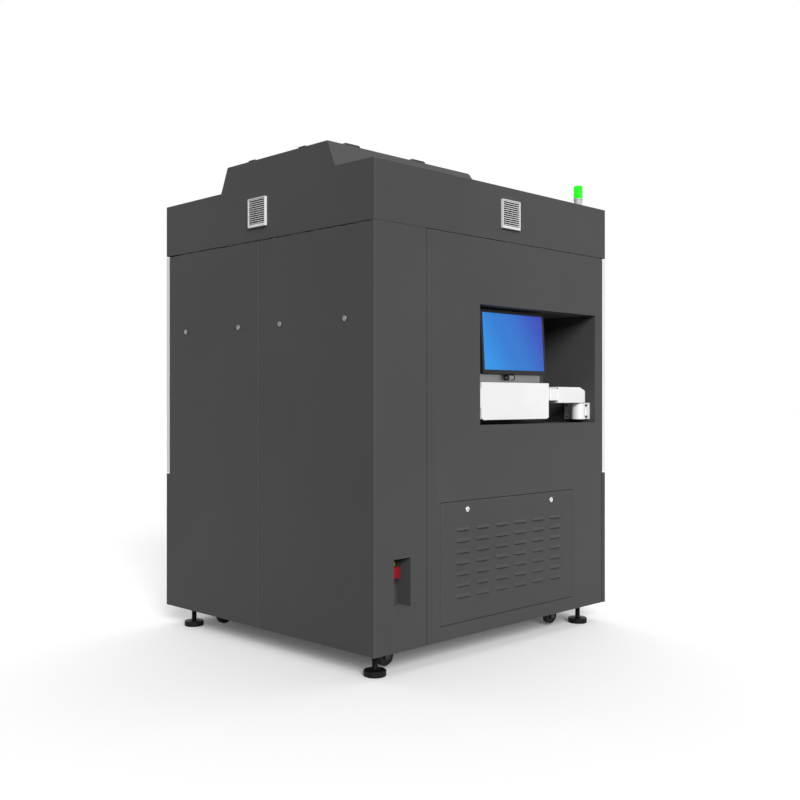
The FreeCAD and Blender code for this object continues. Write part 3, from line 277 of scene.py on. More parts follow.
def ranged(tree, value, low, high, from_low=0.35, from_high=0.65):
    """Value mapped to a range, by default from the middle band of noise."""
    inputs = {0: value, 1: from_low, 2: from_high, 3: low, 4: high}
    return place(tree, "ShaderNodeMapRange", inputs).outputs[0]


def reckoned(tree, operation, first, second):
    """Two values joined by an operation of arithmetic."""
    return place(tree, "ShaderNodeMath", {0: first, 1: second}, operation=operation).outputs[0]


def product(tree, first, second):
    """Two values multiplied."""
    return reckoned(tree, "MULTIPLY", first, second)


def noise(tree, scale, detail):
    """Noise over the object's own coordinates."""
    where = place(tree, "ShaderNodeTexCoord").outputs["Object"]
    return place(tree, "ShaderNodeTexNoise", {"Vector": where, "Scale": scale, "Detail": detail}).outputs[0]


def ramped(tree, share, first, middle, last, turn, easing="LINEAR"):
    """Colour that runs through three colours, with the middle one at a given share."""
    ramp = place(tree, "ShaderNodeValToRGB", {0: share})
    ramp.color_ramp.interpolation = easing
    stops = ramp.color_ramp.elements
    stops[0].color = first
    stops[1].color = last
    stops.new(turn).color = middle
    return ramp.outputs[0]


def opaque(rgb, shade=1.0):
    """Four-part colour of three parts, made lighter or darker."""
    return (rgb[0] * shade, rgb[1] * shade, rgb[2] * shade, 1.0)


def new_group(name, inputs, outputs):
    """Empty shader group with named sockets, and its two end nodes."""
    group = bpy.data.node_groups.new(name, "ShaderNodeTree")
    for label, kind, default in inputs:
        socket = group.interface.new_socket(name=label, in_out="INPUT", socket_type=kind)
        socket.default_value = default
    for label, kind in outputs:
        group.interface.new_socket(name=label, in_out="OUTPUT", socket_type=kind)
    return group, group.nodes.new("NodeGroupInput"), group.nodes.new("NodeGroupOutput")


def paint_grain():
    """Fine orange peel of a sprayed or moulded surface."""
    group, ins, outs = new_group(
        "paint_grain",
        [("Scale", "NodeSocketFloat", 900.0)],
        [("Height", "NodeSocketFloat"), ("Speckle", "NodeSocketFloat")],
    )
    coarse_scale, coarse_share = 0.3, 0.45
    fine = noise(group, ins.outputs["Scale"], 3.0)
    coarse = noise(group, product(group, ins.outputs["Scale"], coarse_scale), 2.0)
    both = place(group, "ShaderNodeMix", {0: coarse_share, 2: fine, 3: coarse})
    group.links.new(both.outputs[0], outs.inputs["Height"])
    group.links.new(ranged(group, fine, 0.0, 1.0), outs.inputs["Speckle"])
    return group


def soft_mottle():
    """Slow drift between two near colours over a large surface."""
    group, ins, outs = new_group(
        "soft_mottle",
        [
            ("Colour 1", "NodeSocketColor", (0.5, 0.5, 0.5, 1.0)),
            ("Colour 2", "NodeSocketColor", (0.6, 0.6, 0.6, 1.0)),
            ("Scale", "NodeSocketFloat", 2.0),
        ],
        [("Colour", "NodeSocketColor")],
    )
    patch = ranged(group, noise(group, ins.outputs["Scale"], 4.0), 0.0, 1.0)
    both = mixed(group, patch, ins.outputs["Colour 1"], ins.outputs["Colour 2"])
    group.links.new(both, outs.inputs["Colour"])
    return group


def rubbed_edge():
    """Mask of the rounded edges, broken up where handling has polished them."""
    group, ins, outs = new_group(
        "rubbed_edge", [("Scale", "NodeSocketFloat", 30.0)], [("Mask", "NodeSocketFloat")]
    )
    layer = place(group, "ShaderNodeAttribute", attribute_type="GEOMETRY", attribute_name=RUB_LAYER)
    broken = ranged(group, noise(group, ins.outputs["Scale"], 3.0), 0.2, 1.0)
    group.links.new(product(group, layer.outputs["Fac"], broken), outs.inputs["Mask"])
    return group


def settled_dust():
    """Mask of faces that look up, with uneven dust on them."""
    group, ins, outs = new_group(
        "settled_dust", [("Scale", "NodeSocketFloat", 6.0)], [("Mask", "NodeSocketFloat")]
    )
    normal = place(group, "ShaderNodeNewGeometry").outputs["Normal"]
    up = place(group, "ShaderNodeSeparateXYZ", {0: normal}).outputs["Z"]
    flat = ranged(group, up, 0.0, 1.0, 0.75, 1.0)
    patchy = ranged(group, noise(group, ins.outputs["Scale"], 6.0), 0.25, 1.0)
    group.links.new(product(group, flat, patchy), outs.inputs["Mask"])
    return group


def brushed_lines():
    """Fine parallel lines of a brushed, ground or turned metal."""
    group, ins, outs = new_group(
        "brushed_lines",
        [("Stretch", "NodeSocketVector", (6.0, 6.0, 900.0))],
        [("Height", "NodeSocketFloat"), ("Streak", "NodeSocketFloat")],
    )
    where = place(group, "ShaderNodeTexCoord").outputs["Object"]
    drawn = place(group, "ShaderNodeMapping", {"Vector": where, "Scale": ins.outputs["Stretch"]})
    lines = place(group, "ShaderNodeTexNoise", {"Vector": drawn.outputs[0], "Scale": 1.0, "Detail": 4.0})
    group.links.new(lines.outputs[0], outs.inputs["Height"])
    group.links.new(ranged(group, lines.outputs[0], 0.0, 1.0), outs.inputs["Streak"])
    return group


GROUP_MAKERS = (paint_grain, soft_mottle, rubbed_edge, settled_dust, brushed_lines)


def effect(tree, name, inputs=None):
    """One of the shared effects placed in a material, made the first time it is asked for."""
    group = bpy.data.node_groups.get(name)
    if group is None:
        group = next(make for make in GROUP_MAKERS if make.__name__ == name)()
    return place(tree, "ShaderNodeGroup", inputs, node_tree=group).outputs


def new_material(name):
    """Material with a bare Principled shader."""
    made = bpy.data.materials.new(name)
    made.use_nodes = True
    tree = made.node_tree
    return made, tree, tree.nodes["Principled BSDF"]


def preset(shader, values):
    """Plain values for some of a shader's inputs."""
    for key, value in values.items():
        shader.inputs[key].default_value = value


def drifting(tree, tint, low, high, scale):
    """Colour that drifts between two shades of a tint."""
    inputs = {"Colour 1": opaque(tint, low), "Colour 2": opaque(tint, high), "Scale": scale}
    return effect(tree, "soft_mottle", inputs)["Colour"]


def rubbed_over(tree, base, tint, share):
    """Colour with a lighter tint laid over its rubbed edges."""
    mask = product(tree, effect(tree, "rubbed_edge")["Mask"], share)
    return mixed(tree, mask, base, tint)


def polished(paint):
    """Lighter tint of a paint where handling has polished it."""
    lift, gain, share, shade = 0.10, 1.5, 0.25, 1.25
    bright = [min(1.0, lift + gain * part) for part in paint]
    return opaque([(1 - share) * part + share * light for part, light in zip(paint, bright)], shade)


def uneven_gloss(tree, shader, mask, low, high):
    """Roughness that a mask takes from a low to a high value."""
    tree.links.new(ranged(tree, mask, low, high, 0.0, 1.0), shader.inputs["Roughness"])


def bumped(tree, shader, height, depth, share=1.0):
    """Relief of a given depth in metres on the shader."""
    bump = place(tree, "ShaderNodeBump", {"Height": height, "Distance": depth, "Strength": share})
    tree.links.new(bump.outputs[0], shader.inputs["Normal"])


def coated(name, paint, roughness, specular, rub, shade=1.0, grain=900.0, depth=0.00012, dust=0.03):
    """Sprayed or moulded coat: drift of colour, orange peel, lighter edges and a trace of dust."""
    made, tree, shader = new_material(name)
    tint = opaque(getattr(settings("colours"), paint), shade)
    base = drifting(tree, tint, low=0.97, high=1.04, scale=2.2)
    base = rubbed_over(tree, base, polished(tint), rub)
    powder = product(tree, effect(tree, "settled_dust")["Mask"], dust)
    tree.links.new(mixed(tree, powder, base, DUST), shader.inputs["Base Color"])
    peel = effect(tree, "paint_grain", {"Scale": grain})
    uneven_gloss(tree, shader, peel["Speckle"], roughness - 0.05, roughness + 0.07)
    preset(shader, {"Specular IOR Level": specular})
    bumped(tree, shader, peel["Height"], depth)
    return made


def metal(name, paint, roughness, stretch, shade=1.0):
    """Bare metal with fine lines and slightly uneven tint."""
    made, tree, shader = new_material(name)
    tint = opaque(getattr(settings("colours"), paint), shade)
    lines = effect(tree, "brushed_lines", {"Stretch": stretch})
    base = mixed(tree, lines["Streak"], opaque(tint, 0.92), opaque(tint, 1.06))
    base = rubbed_over(tree, base, opaque(tint, 1.2), 0.5)
    tree.links.new(base, shader.inputs["Base Color"])
    uneven_gloss(tree, shader, lines["Streak"], roughness - 0.06, roughness + 0.08)
    preset(shader, {"Metallic": 1.0})
    bumped(tree, shader, lines["Height"], 0.00004)
    return made


def amber_pane(name):
    """Tinted acrylic with faint ripple."""
    made, tree, shader = new_material(name)
    base = drifting(tree, settings("colours").amber, low=0.96, high=1.03, scale=3.0)
    tree.links.new(base, shader.inputs["Base Color"])
    preset(shader, {"Transmission Weight": 0.92, "Roughness": 0.04, "IOR": 1.49})
    ripple = effect(tree, "paint_grain", {"Scale": 18.0})
    bumped(tree, shader, ripple["Height"], 0.0001, 0.2)
    return made


def lit_screen(name):
    """Lit panel whose colour runs from its lower rear corner to its upper front one."""
    made, tree, shader = new_material(name)
    tint = settings("colours")
    low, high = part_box("monitor_screen")
    across, climb = 0.74, 0.26
    where = place(tree, "ShaderNodeTexCoord").outputs["Object"]
    apart = place(tree, "ShaderNodeSeparateXYZ", {0: where}).outputs
    forward = ranged(tree, apart["Y"], 0.0, across, high.y, low.y)
    upward = ranged(tree, apart["Z"], 0.0, climb, low.z, high.z)
    stops = [opaque(stop) for stop in (tint.screen_near, tint.screen_middle, tint.screen_far)]
    glow = ramped(tree, reckoned(tree, "ADD", forward, upward), *stops, 0.45, "EASE")
    tree.links.new(glow, shader.inputs["Emission Color"])
    preset(shader, {"Emission Strength": 1.0, "Base Color": (0.004, 0.004, 0.005, 1.0)})
    preset(shader, {"Roughness": 0.30, "Specular IOR Level": 0.12})
    return made


def lit_lens(name):
    """Signal lens lit from inside, brighter at mid height."""
    made, tree, shader = new_material(name)
    tint = settings("colours").lens
    low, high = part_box("tower_light_lens")
    where = place(tree, "ShaderNodeTexCoord").outputs["Object"]
    level = place(tree, "ShaderNodeSeparateXYZ", {0: where}).outputs["Z"]
    share = ranged(tree, level, 0.0, 1.0, low.z, high.z)
    glow = ramped(tree, share, opaque(tint, 0.7), opaque(tint), opaque(tint, 0.75), 0.5)
    tree.links.new(glow, shader.inputs["Emission Color"])
    base = drifting(tree, tint, low=0.5, high=0.6, scale=60.0)
    tree.links.new(base, shader.inputs["Base Color"])
    preset(shader, {"Emission Strength": 0.8, "Roughness": 0.3, "Specular IOR Level": 0.2})
    return made


COATS = {
    "cabinet_grey": dict(paint="dark_paint", roughness=0.52, specular=0.10, rub=0.1),
    "cabinet_white": dict(paint="white_paint", roughness=0.45, specular=0.4, rub=0.1),
    "grille_white": dict(paint="grille", roughness=0.42, specular=0.4, rub=0.1, grain=1400.0, depth=0.00006),
    "frame_steel": dict(paint="primer", roughness=0.55, specular=0.3, rub=0.3, grain=600.0),
    "fan_black": dict(paint="black", roughness=0.4, specular=0.4, rub=0.2, grain=1600.0, depth=0.00005),
    "isolator_yellow": dict(
        paint="yellow", roughness=0.35, specular=0.5, rub=0.2, grain=1600.0, depth=0.00005, dust=0.0
    ),
    "isolator_red": dict(
        paint="red", roughness=0.3, specular=0.12, rub=0.2, grain=1600.0, depth=0.00004, dust=0.0
    ),
    "console_white": dict(
        paint="console_paint", roughness=0.42, specular=0.4, rub=0.1, grain=1100.0, depth=0.00008
    ),
    "monitor_black": dict(
        paint="bezel", roughness=0.42, specular=0.2, rub=0.2, grain=2200.0, depth=0.00004, dust=0.01
    ),
    "motor_black": dict(paint="black", shade=1.8, roughness=0.42, specular=0.4, rub=0.3, grain=700.0),
    "tower_grey": dict(
        paint="aluminium", shade=0.8, roughness=0.4, specular=0.4, rub=0.1, grain=1400.0, depth=0.00005
    ),
    "foot_black": dict(
        paint="black", shade=0.5, roughness=0.5, specular=0.15, rub=0.2, grain=1200.0, depth=0.0001, dust=0.0
    ),
    "caster_steel": dict(paint="black", shade=1.6, roughness=0.35, specular=0.5, rub=0.4),
    "caster_rubber": dict(paint="black", shade=0.9, roughness=0.6, specular=0.3, rub=0.2, depth=0.0002),
}
METALS = {
    "screw_steel": dict(paint="steel", shade=0.25, roughness=0.35, stretch=(300.0, 300.0, 300.0)),
    "vat_steel": dict(paint="steel", roughness=0.32, stretch=(5.0, 5.0, 700.0)),
    "rail_steel": dict(paint="steel", shade=1.1, roughness=0.22, stretch=(400.0, 400.0, 12.0)),
    "machined_aluminium": dict(paint="aluminium", roughness=0.34, stretch=(500.0, 12.0, 500.0)),
    "lock_chrome": dict(paint="chrome", roughness=0.2, stretch=(500.0, 500.0, 500.0)),
    # This metal takes the darkened zinc tint, so painted shade stands in for dim reflections on the rear
    # locks and shadow on the console bracket.
    "zinc_plated": dict(paint="shaded_zinc", roughness=0.38, stretch=(300.0, 300.0, 300.0)),
}
CLEAR_AND_LIT = {"window_amber": amber_pane, "monitor_glass": lit_screen, "tower_green": lit_lens}


def finish(slot):
    """Material of a record slot, made the first time it is asked for."""
    name = "finish_" + slot
    known = bpy.data.materials.get(name)
    if known:
        return known
    if slot in COATS:
        return coated(name, **COATS[slot])
    if slot in METALS:
        return metal(name, **METALS[slot])
    return CLEAR_AND_LIT[slot](name)


def welded(node):
    """Editable copy of a CAD node's mesh with its flat faces joined."""
    mesh = bmesh.new()
    mesh.from_mesh(frame["nodes"][node].data)
    bmesh.ops.remove_doubles(mesh, verts=mesh.verts, dist=WELD_DISTANCE)
    bmesh.ops.dissolve_limit(
        mesh, angle_limit=FLAT_ANGLE, verts=mesh.verts, edges=mesh.edges, delimit={"NORMAL"}
    )
    return mesh


def sharp(mesh):
    """Edges where two faces of a closed surface meet at a corner."""
    return [edge for edge in mesh.edges if edge.is_manifold and edge.calc_face_angle(0) > SHARP_ANGLE]


def edges_of(verts):
    """Edges that meet any of some corners."""
    return {edge for vert in verts for edge in vert.link_edges}


def rounded(mesh, edges, radius, segments=2):
    """Round some edges, and mark the new faces as rubbed."""
    if not edges or radius <= 0:
        return
    layer = mesh.faces.layers.float.get(RUB_LAYER) or mesh.faces.layers.float.new(RUB_LAYER)
    made = bmesh.ops.bevel(
        mesh, geom=list(edges), offset=radius, offset_type="OFFSET", segments=segments, profile=0.5,
        affect="EDGES", clamp_overlap=True
    )
    for face in made["faces"]:
        face[layer] = 1.0


def outline_edges(mesh, side, directions):
    """Sharp edges on a side plane of the mesh's box that also lie on another of its planes."""
    corners = [vert.co for vert in mesh.verts]
    low = [min(c[i] for c in corners) for i in range(3)]
    high = [max(c[i] for c in corners) for i in range(3)]
    planes = [(i, level) for i in range(3) for level in (low[i], high[i])]
    axis = "XYZ".index(side[1])
    own = (axis, (low if side[0] == "-" else high)[axis])
    found = []
    for edge in sharp(mesh):
        ends = [vert.co for vert in edge.verts]
        on = [plane for plane in planes if all(abs(e[plane[0]] - plane[1]) < PLANE_TOLERANCE for e in ends)]
        run = ends[1] - ends[0]
        heading = "XYZ"[max(range(3), key=lambda i: abs(run[i]))]
        if own in on and len(on) > 1 and heading in directions:
            found.append(edge)
    return found


def show(name, mesh, node, slot=None):
    """Turn a mesh into a shown piece that stands for a CAD node and moves with its body."""
    data = bpy.data.meshes.new(name)
    mesh.to_mesh(data)
    mesh.free()
    data.shade_smooth()
    data.set_sharp_from_angle(angle=SMOOTH_ANGLE)
    piece = bpy.data.objects.new(name, data)
    bpy.context.scene.collection.objects.link(piece)
    slot = slot or SLOT_OF[node]
    data.materials.append(finish(slot))
    weighted = piece.modifiers.new("weighted normals", "WEIGHTED_NORMAL")
    weighted.keep_sharp = True
    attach(piece, frame["nodes"][node]["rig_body"])
    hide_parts(node)
    return piece


def coat_node(node):
    """Finish a CAD node whose own shape is shown."""
    data = frame["nodes"][node].data
    data.materials.clear()
    data.materials.append(finish(SLOT_OF[node]))


def dressed(node, radius, segments=2):
    """Copy of a CAD node with all its corners rounded."""
    mesh = welded(node)
    rounded(mesh, sharp(mesh), radius, segments)
    show(node + "_dressed", mesh, node)


def add_block(mesh, low, high, radius):
    """Box between two corners, with rounded edges."""
    size = Vector(high) - Vector(low)
    matrix = Matrix.Translation((Vector(low) + Vector(high)) / 2) @ Matrix.Diagonal((*size, 1.0))
    made = bmesh.ops.create_cube(mesh, size=1.0, matrix=matrix)["verts"]
    rounded(mesh, edges_of(made), radius)


def add_prism(mesh, outline, run):
    """Closed outline drawn out along a vector."""
    near = [mesh.verts.new(point) for point in outline]
    far = [mesh.verts.new(Vector(point) + Vector(run)) for point in outline]
    faces = [mesh.faces.new(near[::-1]), mesh.faces.new(far)]
    for i in range(len(near)):
        j = (i + 1) % len(near)
        faces.append(mesh.faces.new((near[i], near[j], far[j], far[i])))
    bmesh.ops.recalc_face_normals(mesh, faces=faces)
    return near + far


def add_turned(mesh, profile, matrix, steps=48, shape=None):
    """Turn a profile of (radius, height) pairs about the matrix's Z axis; shape may vary the radius."""
    rings = []
    for radius, height in profile:
        if radius == 0:
            rings.append([mesh.verts.new(matrix @ Vector((0, 0, height)))])
            continue
        ring = []
        for i in range(steps):
            turn = 2 * math.pi * i / steps
            r = shape(radius, turn, height) if shape else radius
            ring.append(mesh.verts.new(matrix @ Vector((r * math.cos(turn), r * math.sin(turn), height))))
        rings.append(ring)
    faces = []
    for lower, upper in zip(rings, rings[1:]):
        for i in range(steps):
            j = (i + 1) % steps
            corners = [lower[k % len(lower)] for k in (i, j)] + [upper[k % len(upper)] for k in (j, i)]
            unique = list(dict.fromkeys(corners))
            if len(unique) > 2:
                faces.append(mesh.faces.new(unique))
    bmesh.ops.recalc_face_normals(mesh, faces=faces)


def arc(centre, radius, start, end, steps):
    """Points of an arc in a profile, from one angle in degrees to another."""
    turns = [math.radians(start + (end - start) * i / steps) for i in range(steps + 1)]
    return [(centre[0] + radius * math.cos(t), centre[1] + radius * math.sin(t)) for t in turns]


def even_steps(start, end, steps):
    """Levels at even steps from a start to an end."""
    return [start + (end - start) * k / steps for k in range(steps + 1)]


def middle_of(node):
    """Centre of a CAD node's box."""
    low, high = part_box(node)
    return (low + high) / 2


def standing_on(node):
    """Matrix at the middle of the lower face of a CAD node's box."""
    centre = middle_of(node)
    return Matrix.Translation((centre.x, centre.y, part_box(node)[0].z))


FOLDED = (
    ("corner_panel", "-X", "Z"),
    ("console_panel", "-X", "YZ"),
    ("rear_panel_right", "+Y", "XZ"),
    ("rear_panel_left", "+Y", "XZ"),
    ("side_cover_upper", "+X", "YZ"),
    ("side_cover_lower", "+X", "YZ"),
    ("front_upper_cover", "-Y", "XZ"),
    ("front_lower_cover", "-Y", "XZ"),
)


def at_corner(edge):
    """Whether an edge runs up the cabinet's rear console-side corner."""
    corner = Vector((SIDE_PLANE, REAR_PLANE))
    return all((vert.co.xy - corner).length < PLANE_TOLERANCE for vert in edge.verts)


def rounded_bends(mesh, edges, size):
    """Round the bends of a panel, with a larger radius at the cabinet's rear console-side corner."""
    rounded(mesh, [edge for edge in edges if not at_corner(edge)], size.bend, 3)
    rounded(mesh, [edge for edge in mesh.edges if at_corner(edge)], size.corner, 5)


class PRINTER_OT_panels(bpy.types.Operator):
    """Folded panels and covers of the cabinet, with rounded bends"""

    bl_idname = "printer.panels"
    bl_label = "Panels and covers"

    def execute(self, context):
        size = settings("sheets")
        for node, side, directions in FOLDED:
            mesh = welded(node)
            rounded_bends(mesh, outline_edges(mesh, side, directions), size)
            show(node + "_sheet", mesh, node)
        coat_node("console_recess")
        return {"FINISHED"}


class PRINTER_OT_hood(bpy.types.Operator):
    """Hood shell and the sloping raised cover with its lugs"""

    bl_idname = "printer.hood"
    bl_label = "Hood"

    def execute(self, context):
        size = settings("sheets")
        mesh = welded("hood_shell")
        rear = max(vert.co.y for vert in mesh.verts)
        edges = set(outline_edges(mesh, "+Z", "XY"))
        for side in ("-X", "+X"):
            edges.update(outline_edges(mesh, side, "Z"))
        bends = [edge for edge in edges if not self.along_rear(edge, rear, size.bend)]
        rounded_bends(mesh, bends, size)
        show("hood_sheet", mesh, "hood_shell")
        self.raised_cover(size)
        return {"FINISHED"}

    def along_rear(self, edge, rear, slack):
        """Whether a level edge runs along the rear face, where the raised cover stands flush."""
        first, second = (vert.co for vert in edge.verts)
        return min(first.y, second.y) >= rear - slack and abs(first.z - second.z) <= slack

    def raised_cover(self, size):
        """Frustum of sheet, upright at the rear, with low lugs along two top edges."""
        low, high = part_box("raised_cover")
        top = low.z + size.rise
        left, right, front = low.x + size.slope, high.x - size.slope, low.y + size.slope
        base = [(low.x, low.y), (high.x, low.y), (high.x, high.y), (low.x, high.y)]
        roof = [(left, front), (right, front), (right, high.y), (left, high.y)]
        mesh = bmesh.new()
        below = [mesh.verts.new((x, y, low.z)) for x, y in base]
        above = [mesh.verts.new((x, y, top)) for x, y in roof]
        mesh.faces.new(above)
        for i in range(4):
            j = (i + 1) % 4
            mesh.faces.new((below[i], below[j], above[j], above[i]))
        bmesh.ops.recalc_face_normals(mesh, faces=mesh.faces)
        edges = [edge for edge in mesh.edges if not all(vert in below for vert in edge.verts)]
        rounded(mesh, edges, size.bend, 3)
        bmesh.ops.solidify(mesh, geom=list(mesh.faces), thickness=size.sheet)
        data = frame["nodes"]["raised_cover"].data
        tips = [vert.co for vert in data.vertices if vert.co.z > top + PLANE_TOLERANCE]
        rear_tips = [tip for tip in tips if abs(tip.y - high.y) < PLANE_TOLERANCE]
        side_tips = [tip for tip in tips if abs(tip.x - left) < PLANE_TOLERANCE]
        for outline in self.lugs(rear_tips, "x", top):
            add_prism(mesh, [(x, high.y - size.lug_width, z) for x, z in outline], (0, size.lug_width, 0))
        for outline in self.lugs(side_tips, "y", top):
            add_prism(mesh, [(left, y, z) for y, z in outline], (size.lug_width, 0, 0))
        show("raised_cover_sheet", mesh, "raised_cover")

    def lugs(self, tips, axis, top):
        """Outlines of low lugs with sloping ends, from the upper corners of the CAD cover's lugs."""
        rise = max(tip.z for tip in tips) - top
        ends = sorted({round(getattr(tip, axis), 5) for tip in tips})
        return [
            ((start - rise, top), (start, top + rise), (end, top + rise), (end + rise, top))
            for start, end in zip(ends[::2], ends[1::2])
        ]


class PRINTER_OT_vent_panel(bpy.types.Operator):
    """Vent panel pressed from one sheet, torn and bulged into louvres"""

    bl_idname = "printer.vent_panel"
    bl_label = "Louvred vent panel"

    steps = 14
    rings = 6
    fold_angle = math.radians(80)
    end_sharpness = 7
    end_rounding = 0.5
    fall = 1.5

    def execute(self, context):
        size = settings("vents")
        low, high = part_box("vent_panel")
        mesh = bmesh.new()
        self.pressed_sheet(mesh, size, low, high)
        rim = [edge for edge in mesh.edges if edge.is_boundary and self.on_outline(edge, low, high)]
        folded = bmesh.ops.extrude_edge_only(mesh, edges=rim)["geom"]
        moved = [item for item in folded if isinstance(item, bmesh.types.BMVert)]
        bmesh.ops.translate(mesh, verts=moved, vec=(high.x - SIDE_PLANE, 0, 0))
        creased = [e for e in mesh.edges if e.is_manifold and e.calc_face_angle(0) > self.fold_angle]
        rounded(mesh, [edge for edge in creased if self.on_outline(edge, low, high)], size.bend, 3)
        piece = show("vent_panel_sheet", mesh, "vent_panel")
        thick = piece.modifiers.new("sheet", "SOLIDIFY")
        thick.thickness = size.sheet
        thick.offset = -1.0
        # The sheet gets its thickness before its normals are weighted.
        piece.modifiers.move(1, 0)
        return {"FINISHED"}

    def on_outline(self, edge, low, high):
        """Whether an edge lies on the panel's outer edges."""
        return any(
            all(abs(getattr(vert.co, axis) - level) < PLANE_TOLERANCE for vert in edge.verts)
            for axis, level in (("y", low.y), ("y", high.y), ("z", low.z), ("z", high.z))
        )

    def pressed_sheet(self, mesh, size, low, high):
        """Grid over the panel that stands out at each louvre and is torn along its lower lip."""
        eased = [0.5 - 0.5 * math.cos(math.pi * i / self.steps) for i in range(self.steps + 1)]
        stations = [(high.y, None, 0.0)]
        for column in range(size.columns):
            start = high.y - size.first - column * size.pitch
            stations += [(start - size.length * u, column, u) for u in eased]
        stations.append((low.y, None, 0.0))
        levels = [(low.z, None, 0.0)]
        for row in range(size.rows):
            lip = low.z + size.sill + row * size.rise
            levels += [(lip + size.height * v, row, v) for v in even_steps(0.0, 1.0, self.rings)]
        levels.append((high.z, None, 0.0))
        plate, lips = {}, {}
        for i, (y, column, u) in enumerate(stations):
            for j, (z, row, v) in enumerate(levels):
                proud = self.bulge(size, u, v) if column is not None and row is not None else 0.0
                torn = proud > 0 and v == 0
                plate[i, j] = mesh.verts.new((SIDE_PLANE - (0.0 if torn else proud), y, z))
                lips[i, j] = mesh.verts.new((SIDE_PLANE - proud, y, z)) if torn else plate[i, j]
        for i in range(len(stations) - 1):
            for j in range(len(levels) - 1):
                inside = stations[i][1] is not None and stations[i][1] == stations[i + 1][1]
                inside = inside and levels[j][1] is not None and levels[j][1] == levels[j + 1][1]
                lower = lips if inside else plate
                mesh.faces.new((lower[i, j], plate[i, j + 1], plate[i + 1, j + 1], lower[i + 1, j]))

    def bulge(self, size, u, v):
        """How far a louvre stands out at a share u of its length and v of its height."""
        ends = max(0.0, 1 - abs(2 * u - 1) ** self.end_sharpness) ** self.end_rounding
        return size.proud * ends * (1 - v) ** self.fall


class PRINTER_OT_grilles(bpy.types.Operator):
    """White grilles of the hood with their fan motors and rotors"""

    bl_idname = "printer.grilles"
    bl_label = "Hood grilles and fans"

    def execute(self, context):
        size = settings("vents")
        edges = settings("edges")
        low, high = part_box("vent_grilles")
        tall = high.z - low.z
        proud = high.y - REAR_PLANE
        rear, side = middle_of("rear_fan").x, middle_of("side_fan").y
        width = 2 * (rear - self.rear_edge())
        places = {
            "rear": Matrix.Translation((rear, REAR_PLANE, low.z)),
            "side": Matrix.Translation((SIDE_PLANE, side, low.z)) @ Matrix.Rotation(QUARTER_TURN, 4, "Z"),
        }
        for name, matrix in places.items():
            mesh = bmesh.new()
            self.grille(mesh, size, edges, width, tall, proud)
            mesh.transform(matrix)
            show(name + "_grille", mesh, "vent_grilles")
            mesh = bmesh.new()
            self.motor(mesh, size, edges, tall)
            mesh.transform(matrix)
            show(name + "_fan_motor", mesh, "vent_grilles", slot="fan_black")
        for node in ("rear_fan", "side_fan"):
            dressed(node, edges.fan, 1)
        return {"FINISHED"}

    def rear_edge(self):
        """Lowest X of the rear grille on the CAD node."""
        data = frame["nodes"]["vent_grilles"].data
        return min(vert.co.x for vert in data.vertices if vert.co.y > REAR_PLANE + PLANE_TOLERANCE)

    def grille(self, mesh, size, edges, width, tall, proud):
        """Deep thin border, thick sill and level slats; X runs along the face, Y stands out and Z is up."""
        half, wall, sill = width / 2, size.wall, size.lip
        inner = half - wall
        add_block(mesh, (-half, 0, 0), (half, proud, sill), edges.grille_sill)
        add_block(mesh, (-half, 0, sill), (-inner, proud, tall), edges.grille)
        add_block(mesh, (inner, 0, sill), (half, proud, tall), edges.grille)
        add_block(mesh, (-inner, 0, tall - wall), (inner, proud, tall), edges.grille)
        pitch = (tall - sill - wall) / size.slats
        for i in range(size.slats):
            self.slat(mesh, inner, sill + (i + 0.5) * pitch, size, proud)

    def slat(self, mesh, inner, level, size, proud):
        """Blade that falls a little outwards, with a rounded nose."""
        radius = size.slat / 2
        nose = arc((proud - radius, level), radius, -90, 90, 6)
        back = [(proud - size.slat_depth, level + side * radius + size.slat_drop) for side in (1, -1)]
        add_prism(mesh, [(-inner, y, z) for y, z in nose + back], (2 * inner, 0, 0))

    def motor(self, mesh, size, edges, tall):
        """Fan motor on an upright strut behind the slats."""
        gap, half, deep = 0.0005, 0.004, 0.008
        add_block(mesh, (-half, -deep, size.lip), (half, -gap, tall - size.lip), edges.strut)
        can, spindle, chamfer, can_end, spindle_end = 0.016, 0.003, 0.001, 0.012, 0.028
        profile = [(0, gap), (can - chamfer, gap), (can, gap + chamfer), (can, can_end - chamfer)]
        profile += [(can - chamfer, can_end), (spindle, can_end), (spindle, spindle_end), (0, spindle_end)]
        centre = Matrix.Translation((0, 0, tall / 2)) @ Matrix.Rotation(QUARTER_TURN, 4, "X")
        add_turned(mesh, profile, centre, 32)


